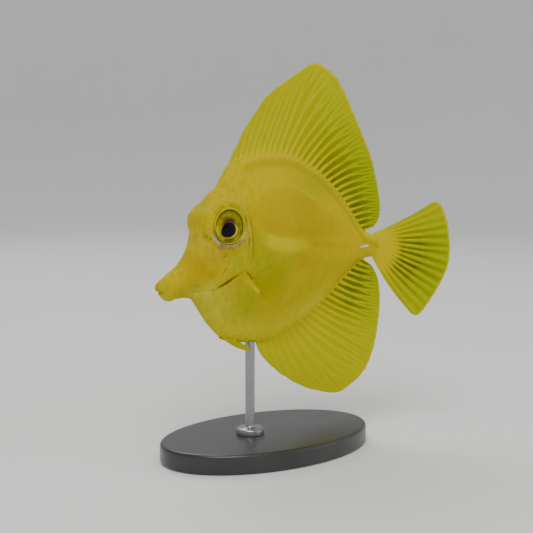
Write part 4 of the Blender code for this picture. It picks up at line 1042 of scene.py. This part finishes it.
def makeMedianFin(key, material):
    fin = fins[key]
    rays, spines = fin["rays"], fin["spines"]
    if fin["line"] == "stalk":
        roots = evenCurve(fin["rootKeys"], fins["rootPoints"])
    else:
        line = back if fin["line"] == "back" else belly
        start = np.linspace(*fin["root"], fins["rootPoints"])
        roots = evenCurve(np.stack([start, line(start)], axis=1), fins["rootPoints"])
    edge = evenCurve(fin["edge"], fins["edgePoints"])
    fan, bow, ridge = smoothLine(fin["fan"]), smoothLine(fin["bow"]), smoothLine(fin["ridge"])

    def hardness(count):
        # 1 on the hard spines ahead, 0 on the soft rays
        before, after = fins["spinesEnd"]
        return fade(-count, -spines - after, -spines + before) if spines else 0.0

    def place(across, outward):
        # the rays waver a little on their way out
        first, second = fins["waverTurns"]
        waver = np.sin(2 * math.pi * (first * across + second * outward)) \
            * np.sin(math.pi * across)
        bent = across + fins["waver"] * waver * outward
        start, end = pointAt(roots, across), pointAt(edge, fan(bent))
        count = across * (rays - 1)
        depth = fins["notch"] + (fins["spineNotch"] - fins["notch"]) * hardness(count)
        run = outward * (1 + fins["sunk"]) - fins["sunk"]
        run *= 1 - depth * scallop(count, outward)
        way = end - start
        way /= np.linalg.norm(way, axis=1)[:, None]
        spot = start + (end - start) * run[:, None]
        curve = bow(across) * np.sin(math.pi * np.clip(run, 0, 1))
        spot += np.stack([way[:, 1], -way[:, 0]], axis=1) * curve[:, None]
        return np.stack([spot[:, 0], np.zeros(len(spot)), spot[:, 1]], axis=1)

    def height(across, outward):
        count = across * (rays - 1)
        tall = fins["rayRoot"] * (1 - outward) ** fins["rayFall"] + fins["rayTip"]
        thick, reach, power = fin["flare"]
        flare = thick * np.exp(-(outward / reach) ** power)
        if fin["line"] == "stalk":
            thin, power = fins["tailFlare"]
            flare *= (1 - thin * (2 * across - 1) ** 2) ** power
        else:
            flare *= fade(across, 0.0, fins["flareStart"])
        crest = rayShape(count, outward, fin["branch"] * (1 - hardness(count)))
        return tall * crest * ridge(across) * fade(outward, *fin["rise"]) + flare

    ridgedSheet(key + "_fin_web", place, height, fin, material, fin["node"])
    print(key, "fin spread")


finPaint = {
    "rayRoot": (0.545, 0.49, 0.0), "rayTip": (0.50, 0.475, 0.0), "edge": (0.62, 0.55, 0.0),
    # gap is painted shade in the folds of the web between the rays
    "webRoot": (0.44, 0.40, 0.0), "webTip": (0.41, 0.395, 0.0), "gap": (0.060, 0.080, 0.0),
    "join": (0.47, 0.39, 0.0),
    "greenRay": (0.325, 0.385, 0.0), "greenWeb": (0.25, 0.315, 0.0),
    "fleck": (0.36, 0.32, 0.0), "root": (0.575, 0.455, 0.0),
}


# looks of a fin whose own settings don't name them
finLook = {
    "branch": 1.0, "wide": (0.45, 0.15), "crisp": 0.35, "thread": 0.45, "rootTone": (0.08, 0.02),
}


def finMaterial(name, settings, spines=0):
    material, tree, shader = newMaterial(name, 0.52, 0.14, sheenTint=yellowSheen)
    fin, paint = {**finLook, **settings}, finPaint
    rays, branch = fin["rays"], fin["branch"]
    sheet = tree.nodes.new("ShaderNodeUVMap")
    axes = tree.nodes.new("ShaderNodeSeparateXYZ")
    tree.links.new(sheet.outputs[0], axes.inputs[0])
    across, outward = axes.outputs[0], axes.outputs[1]
    count = times(tree, across, rays - 1.0)
    mottle = noise(tree, objectPlace(tree), 500.0, 3.0, 0.6)
    # the same parting of the rays as in their ridges
    middle = gapTo(tree, count, maths(tree, "ROUND", count))
    before, after = fins["spinesEnd"]
    soft = branch
    if spines:
        soft = span(tree, count, spines - before, spines + after, 0.0, branch)
    off = middle
    for start, end, apart in fins["parting"]:
        off = gapTo(tree, off, times(tree, span(tree, outward, start, end, 0.0, apart), soft))
    # rays differ in width, and fine threads run along them
    threads = tree.nodes.new("ShaderNodeCombineXYZ")
    plug(tree, threads.inputs[0], count)
    plug(tree, threads.inputs[1], times(tree, outward, 2.2))
    uneven = noise(tree, threads.outputs[0], 0.8, 2.0)
    thread = noise(tree, threads.outputs[0], 4.5, 3.0, 0.6)
    wide = span(tree, outward, 0.0, 1.0, *fin["wide"], smooth=False)
    wide = times(tree, wide, span(tree, uneven, 0.25, 0.75, 0.78, 1.2))
    crest = span(tree, maths(tree, "DIVIDE", off, wide), 1.0, fin["crisp"])
    if "plain" in fin:
        crest = maths(tree, "MAXIMUM", crest, span(tree, outward, *fin["plain"], 1.0, 0.0))
    out = span(tree, outward, 0.0, 0.95)
    ray = blend(tree, out, paint["rayRoot"], paint["rayTip"])
    web = blend(tree, out, paint["webRoot"], paint["webTip"])
    if "greenAlong" in fin:
        green = times(tree, ramp(tree, across, greys(fin["greenAlong"])),
                      ramp(tree, outward, greys(fin["greenOut"])))
        ray = blend(tree, green, ray, paint["greenRay"])
        web = blend(tree, green, web, paint["greenWeb"])
    # painted shade in the folds of the web between the rays, placed by darkAlong and darkOut
    deep = times(tree, ramp(tree, across, greys(fin["darkAlong"])),
                 ramp(tree, outward, greys(fin["darkOut"])),
                 span(tree, uneven, 0.2, 0.6, 1.0, 0.75))
    web = blend(tree, deep, web, paint["gap"])
    if "ridge" in fin:
        web = blend(tree, ramp(tree, across, greys(fin["ridge"])), ray, web)
    if "joined" in fin:
        # its forward part takes the colour of the body where it leaves it
        root = times(tree, span(tree, outward, fin["joined"], 0.0),
                     span(tree, ramp(tree, across, greys(fin["ridge"])), 1.0, 0.3))
        ray, web = (blend(tree, root, part, paint["join"]) for part in (ray, web))
    colour = blend(tree, crest, web, ray)
    if "core" in fin:
        # a fine bright line along the outer half of each ray
        core = times(tree, span(tree, middle, 0.13, 0.03, 0.0, fin["core"]),
                     span(tree, outward, 0.45, 0.75))
        colour = blend(tree, core, colour, paint["rayTip"])
    line = times(tree, span(tree, thread, 0.50, 0.66, 0.0, fin["thread"]),
                 span(tree, outward, 0.05, 0.30))
    colour = blend(tree, line, colour, web)
    for share, tint in ((span(tree, mottle, 0.50, 0.8, 0.0, 0.25), "fleck"),
                        (span(tree, outward, 0.970, 0.992, 0.0, 0.6), "edge"),
                        (span(tree, outward, *fin["rootTone"], 0.0, 0.9), "root")):
        colour = blend(tree, share, colour, paint[tint])
    plug(tree, shader.inputs["Base Color"], colour)
    # joints across the rays, and the fold of the web
    joints = maths(tree, "SINE", times(tree, outward, 260.0))
    height = maths(tree, "MULTIPLY_ADD", times(tree, joints, crest), 0.06, crest)
    height = maths(tree, "MULTIPLY_ADD", thread, 0.5, height)
    relief(tree, shader, height, 0.40, 0.00012)
    if "veil" in fin:
        # a clear web with faint rays, one stouter ray along its lower edge, and a full root
        veil = span(tree, crest, 0.0, 1.0, *fin["veil"])
        veil = maths(tree, "ADD", veil, span(tree, count, rays - 2.2, rays - 1.4, 0.0,
                                             fin["stout"]))
        veil = maths(tree, "MAXIMUM", veil, span(tree, outward, 0.16, 0.02, 0.0, 0.22))
        veil = times(tree, veil, span(tree, outward, 1.0, 0.7, 0.35, 1.0))
        plug(tree, shader.inputs["Alpha"], veil)
    return material


def sideHeight(fin):
    # rays that grow finer towards the edge, on a web that is thicker at its root
    def height(across, outward):
        thick, reach = fin["cuff"]
        crest = rayShape(across * (fin["rays"] - 1), outward, 1.0)
        return fin["ray"] * (fin["rayEnd"] - outward) * crest + thick * hump(outward, reach)

    return height


pectoral = {
    "root": [(-7.6, -1.6), (-5.0, -5.3)], "lift": (20.0, -14.0), "length": (14.0, 7.5),
    "rays": 14, "out": math.radians(15.0), "clear": 0.25, "taper": 0.8, "round": 0.12,
    "sunk": 0.04, "notch": 0.02, "cuff": (0.10, 0.08),
    # how far the web and the rays can be seen, and what the lowest ray adds
    "veil": (0.08, 0.17), "stout": 0.18,
    "sink": 0.7, "sinkReach": 0.14,
    "columnsPerRay": 10, "rows": 40, "web": 0.16, "ray": 0.12, "rayEnd": 1.1,
    "darkAlong": [(0.0, 0.03), (1.0, 0.03)], "darkOut": [(0.0, 0.3), (0.5, 0.2), (1.0, 0.1)],
}


def makePectoral(side, material):
    top, low = np.array(pectoral["root"][0]), np.array(pectoral["root"][1])
    rays, sunk, out = pectoral["rays"], pectoral["sunk"], pectoral["out"]
    sink = pectoral["sink"]

    def place(across, outward):
        start = top + (low - top) * across[:, None]
        first, last = pectoral["lift"]
        lift = np.radians(first + (last - first) * across)
        first, last = pectoral["length"]
        length = first + (last - first) * across ** pectoral["taper"]
        length *= 1 - pectoral["round"] * (1 - across) ** 6
        length *= 1 - pectoral["notch"] * scallop(across * (rays - 1), outward)
        run = outward * (1 + sunk) - sunk
        level = length * math.cos(out) * run
        # its root is sunk in the ridge at its base
        base = flank(start[:, 0], start[:, 1]) \
            + pectoral["clear"] * ((1 + sink) * fade(outward, 0.0, pectoral["sinkReach"]) - sink)
        y = base + length * math.sin(out) * run
        return np.stack([start[:, 0] + level * np.cos(lift), side * y,
                         start[:, 1] + level * np.sin(lift)], axis=1)

    ridgedSheet("pectoral_web_" + sideWord[side], place, sideHeight(pectoral), pectoral,
                material, "pectoral_fin_" + sideWord[side])


pelvic = {
    "root": (-12.8, -9.6), "tips": [(-6.2, -18.8), (-6.5, -17.8)], "rays": 6, "rootOut": 0.75,
    # the right fin is held closer to the belly than the left one
    "tipOut": {-1: 2.1, 1: 1.3}, "bow": {-1: (0.65, 0.25), 1: (0.05, 0.25)},
    "rootIn": 0.15, "notch": 0.03, "cuff": (0.20, 0.12),
    "columnsPerRay": 10, "rows": 30, "web": 0.22, "ray": 0.14, "rayEnd": 1.1,
    "darkAlong": [(0.0, 0.2), (1.0, 0.5)], "darkOut": [(0.0, 0.3), (0.5, 0.5), (1.0, 0.3)],
}


def makePelvic(side, material):
    rays = pelvic["rays"]
    tips = np.array(pelvic["tips"])
    below, above = pelvic["bow"][side]

    def place(across, outward):
        along = pelvic["root"][0] + (pelvic["root"][1] - pelvic["root"][0]) * across
        start = np.stack([along, np.full(along.shape, pelvic["rootOut"]),
                          belly(along) + pelvic["rootIn"]], axis=1)
        end = tips[0] + (tips[1] - tips[0]) * across[:, None]
        out = np.full(along.shape, pelvic["tipOut"][side])
        end = np.stack([end[:, 0], out, end[:, 1]], axis=1)
        run = outward * (1 - pelvic["notch"] * scallop(across * (rays - 1), outward))
        spot = start + (end - start) * run[:, None]
        # leaf shaped: the front edge bows down and the rear edge up
        spot[:, 2] += np.sin(math.pi * run) * (above * across - below * (1 - across))
        spot[:, 1] *= side
        return spot

    ridgedSheet("pelvic_web_" + sideWord[side], place, sideHeight(pelvic), pelvic, material,
                "pelvic_fin_" + sideWord[side])


blades = {
    "along": 26.6, "up": 3.8, "length": 2.7, "height": 0.9, "thick": 0.75,
    "turn": math.radians(-7.0), "segments": 40, "rings": 28, "out": 0.04,
    # a keen edge below, a rounded back, and a point that leads forward
    "backHeight": 0.75, "keen": 0.35, "taper": 0.25, "droop": 0.08,
}


def makeBlade(side, material):
    bpy.ops.mesh.primitive_uv_sphere_add(segments=blades["segments"], radius=1.0,
                                         ring_count=blades["rings"], location=(0, 0, 0))
    piece = bpy.context.object
    points = readPoints(piece)[:, [2, 1, 0]]
    share, below = points[:, 0], points[:, 2] < 0
    tall = np.where(below, 1.0, blades["backHeight"]) * blades["height"] / 2
    taper = blades["taper"]
    points = np.stack([share * blades["length"] / 2,
                       points[:, 1] * blades["thick"] / 2 * (1 - blades["keen"] * below),
                       points[:, 2] * tall * (1 - taper + taper * share)
                       - blades["droop"] * (share - 1) ** 2], axis=1)
    out = float(flank(np.array([blades["along"]]), np.array([blades["up"]]))[0])
    matrix = Matrix.Translation((blades["along"], side * (out + blades["out"]), blades["up"])) \
        @ Matrix.Rotation(side * blades["turn"], 4, "Z")
    writePoints(piece, layInTurn(moved(points, matrix)))
    finish(piece, "blade_" + sideWord[side], material, "blade", "tail_blade_" + sideWord[side])


def bladeMaterial():
    material, tree, shader = newMaterial("blade horn", 0.28, 0.5, 0.4, 0.1)
    grain = noise(tree, objectPlace(tree, (1.0, 1.0, 3.0)), 1200.0, 3.0)
    colour = blend(tree, span(tree, grain, 0.3, 0.8), (0.80, 0.79, 0.62), (0.66, 0.64, 0.44))
    plug(tree, shader.inputs["Base Color"], colour)
    relief(tree, shader, grain, 0.1, 0.00005)
    return material


stand = {
    "length": 54.0, "width": 34.0, "height": 4.5, "edge": 0.8, "edgeSteps": 5, "sides": 144,
    # corners sharper than these, in degrees, are bevelled, and kept sharp on base and rod
    "bevelFrom": 40.0, "baseSharp": 35.0, "rodSharp": 40.0,
    "rodAlong": -4.7, "rodRadius": 1.1, "rodSides": 64, "rodIn": 0.7, "weld": 0.005,
    "footRadius": 3.2, "footHeight": 1.2, "footLift": 0.3, "footIn": 0.02,
    # turned steps: out from the foot's rim and up from its underside, then up from its top,
    # then out from the rod and up from the foot's top
    "footLow": [(-0.1, 0.0), (0.0, 0.1)], "footRim": [(0.0, -0.35), (-0.08, -0.15), (-0.3, 0.0)],
    "collar": [(0.65, 0.0), (0.25, 0.2), (0.06, 0.45), (0.0, 0.75)],
}


def makeStand(plateFinish, postFinish):
    half, tall = stand["length"] / 2 * mm, stand["height"] * mm
    bpy.ops.mesh.primitive_cylinder_add(vertices=stand["sides"], radius=half, depth=tall,
                                        location=(0, 0, 0))
    base = bpy.context.object
    points = readPoints(base)
    points[:, 1] *= stand["width"] / stand["length"]
    points[:, 2] += tall / 2
    writePoints(base, points)
    bpy.ops.object.modifier_add(type="BEVEL")
    bevel = base.modifiers[-1]
    bevel.width = stand["edge"] * mm
    bevel.segments = stand["edgeSteps"]
    bevel.limit_method = "ANGLE"
    bevel.angle_limit = math.radians(stand["bevelFrom"])
    bpy.ops.object.modifier_apply(modifier=bevel.name)
    finish(base, "stand_plate", plateFinish, "stand_base", "stand_base")
    keepEdges(base, stand["baseSharp"])

    # the rod: a turned outline spun about its own axis
    foot = stand["height"] - stand["footIn"]
    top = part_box("stand_rod")[1].z / mm + stand["rodIn"]
    slim, wide = stand["rodRadius"], stand["footRadius"]
    level = foot + stand["footLift"] + stand["footHeight"]
    outline = [(0.0, foot)] + [(wide + out, foot + up) for out, up in stand["footLow"]] \
        + [(wide + out, level + up) for out, up in stand["footRim"]] \
        + [(slim + out, level + up) for out, up in stand["collar"]] + [(slim, top), (0.0, top)]
    bpy.ops.mesh.primitive_circle_add(vertices=len(outline), radius=1.0, fill_type="NOTHING",
                                      location=(0, 0, 0))
    rod = bpy.context.object
    writePoints(rod, np.array([(x * mm, 0.0, z * mm) for x, z in outline]))
    # the edge that closes the ring lies on the axis, so it goes
    bpy.ops.object.mode_set(mode="EDIT")
    bpy.ops.mesh.select_all(action="DESELECT")
    bpy.ops.object.mode_set(mode="OBJECT")
    for edge in rod.data.edges:
        edge.select = set(edge.vertices) == {0, len(outline) - 1}
    bpy.ops.object.mode_set(mode="EDIT")
    bpy.ops.mesh.select_mode(type="EDGE")
    bpy.ops.mesh.delete(type="EDGE")
    bpy.ops.mesh.select_mode(type="VERT")
    bpy.ops.mesh.select_all(action="SELECT")
    bpy.ops.mesh.spin(steps=stand["rodSides"], angle=2 * math.pi, center=(0, 0, 0),
                      axis=(0, 0, 1))
    bpy.ops.mesh.select_all(action="SELECT")
    bpy.ops.mesh.remove_doubles(threshold=stand["weld"] * mm)
    bpy.ops.object.mode_set(mode="OBJECT")
    points = readPoints(rod)
    points[:, 0] += stand["rodAlong"] * mm
    writePoints(rod, points)
    finish(rod, "stand_post", postFinish, "stand_rod", "stand_rod")
    keepEdges(rod, stand["rodSharp"])
    print("stand set")


def baseMaterial():
    material, tree, shader = newMaterial("satin black base", 0.35, 0.5, 0.2, 0.2)
    grain = noise(tree, objectPlace(tree), 900.0, 5.0, 0.7)
    wear = noise(tree, objectPlace(tree), 60.0, 4.0, 0.6)
    colour = blend(tree, span(tree, wear, 0.3, 0.8), (0.022, 0.022, 0.024),
                   (0.040, 0.039, 0.038))
    plug(tree, shader.inputs["Base Color"], colour)
    plug(tree, shader.inputs["Roughness"], span(tree, wear, 0.2, 0.8, 0.30, 0.44))
    relief(tree, shader, grain, 0.12, 0.00005)
    return material


def rodMaterial():
    material, tree, shader = newMaterial("brushed steel", 0.3, 0.5)
    shader.inputs["Metallic"].default_value = 1.0
    rings = noise(tree, objectPlace(tree, (0.02, 0.02, 1.0)), 9000.0, 3.0, 0.6)
    colour = blend(tree, span(tree, rings, 0.3, 0.8), (0.36, 0.36, 0.37), (0.25, 0.25, 0.26))
    plug(tree, shader.inputs["Base Color"], colour)
    plug(tree, shader.inputs["Roughness"], span(tree, rings, 0.2, 0.8, 0.24, 0.40))
    relief(tree, shader, rings, 0.1, 0.00003)
    return material


# all put together
setStage()
makeSkin(skinMaterial())
eyeFinish, rimFinish = eyeMaterial(), rimMaterial()
for side in sideWord:
    makeEye(side, eyeFinish, rimFinish)
print("eyes set in their rims")
for key in ("dorsal", "anal", "tail"):
    fin = fins[key]
    makeMedianFin(key, finMaterial(key + " fin", fin, fin["spines"]))
sideFin, bellyFin = finMaterial("pectoral fin", pectoral), finMaterial("pelvic fin", pelvic)
bladeFinish = bladeMaterial()
for side in sideWord:
    makePectoral(side, sideFin)
    makePelvic(side, bellyFin)
    makeBlade(side, bladeFinish)
print("side fins and blades set")
makeStand(baseMaterial(), rodMaterial())
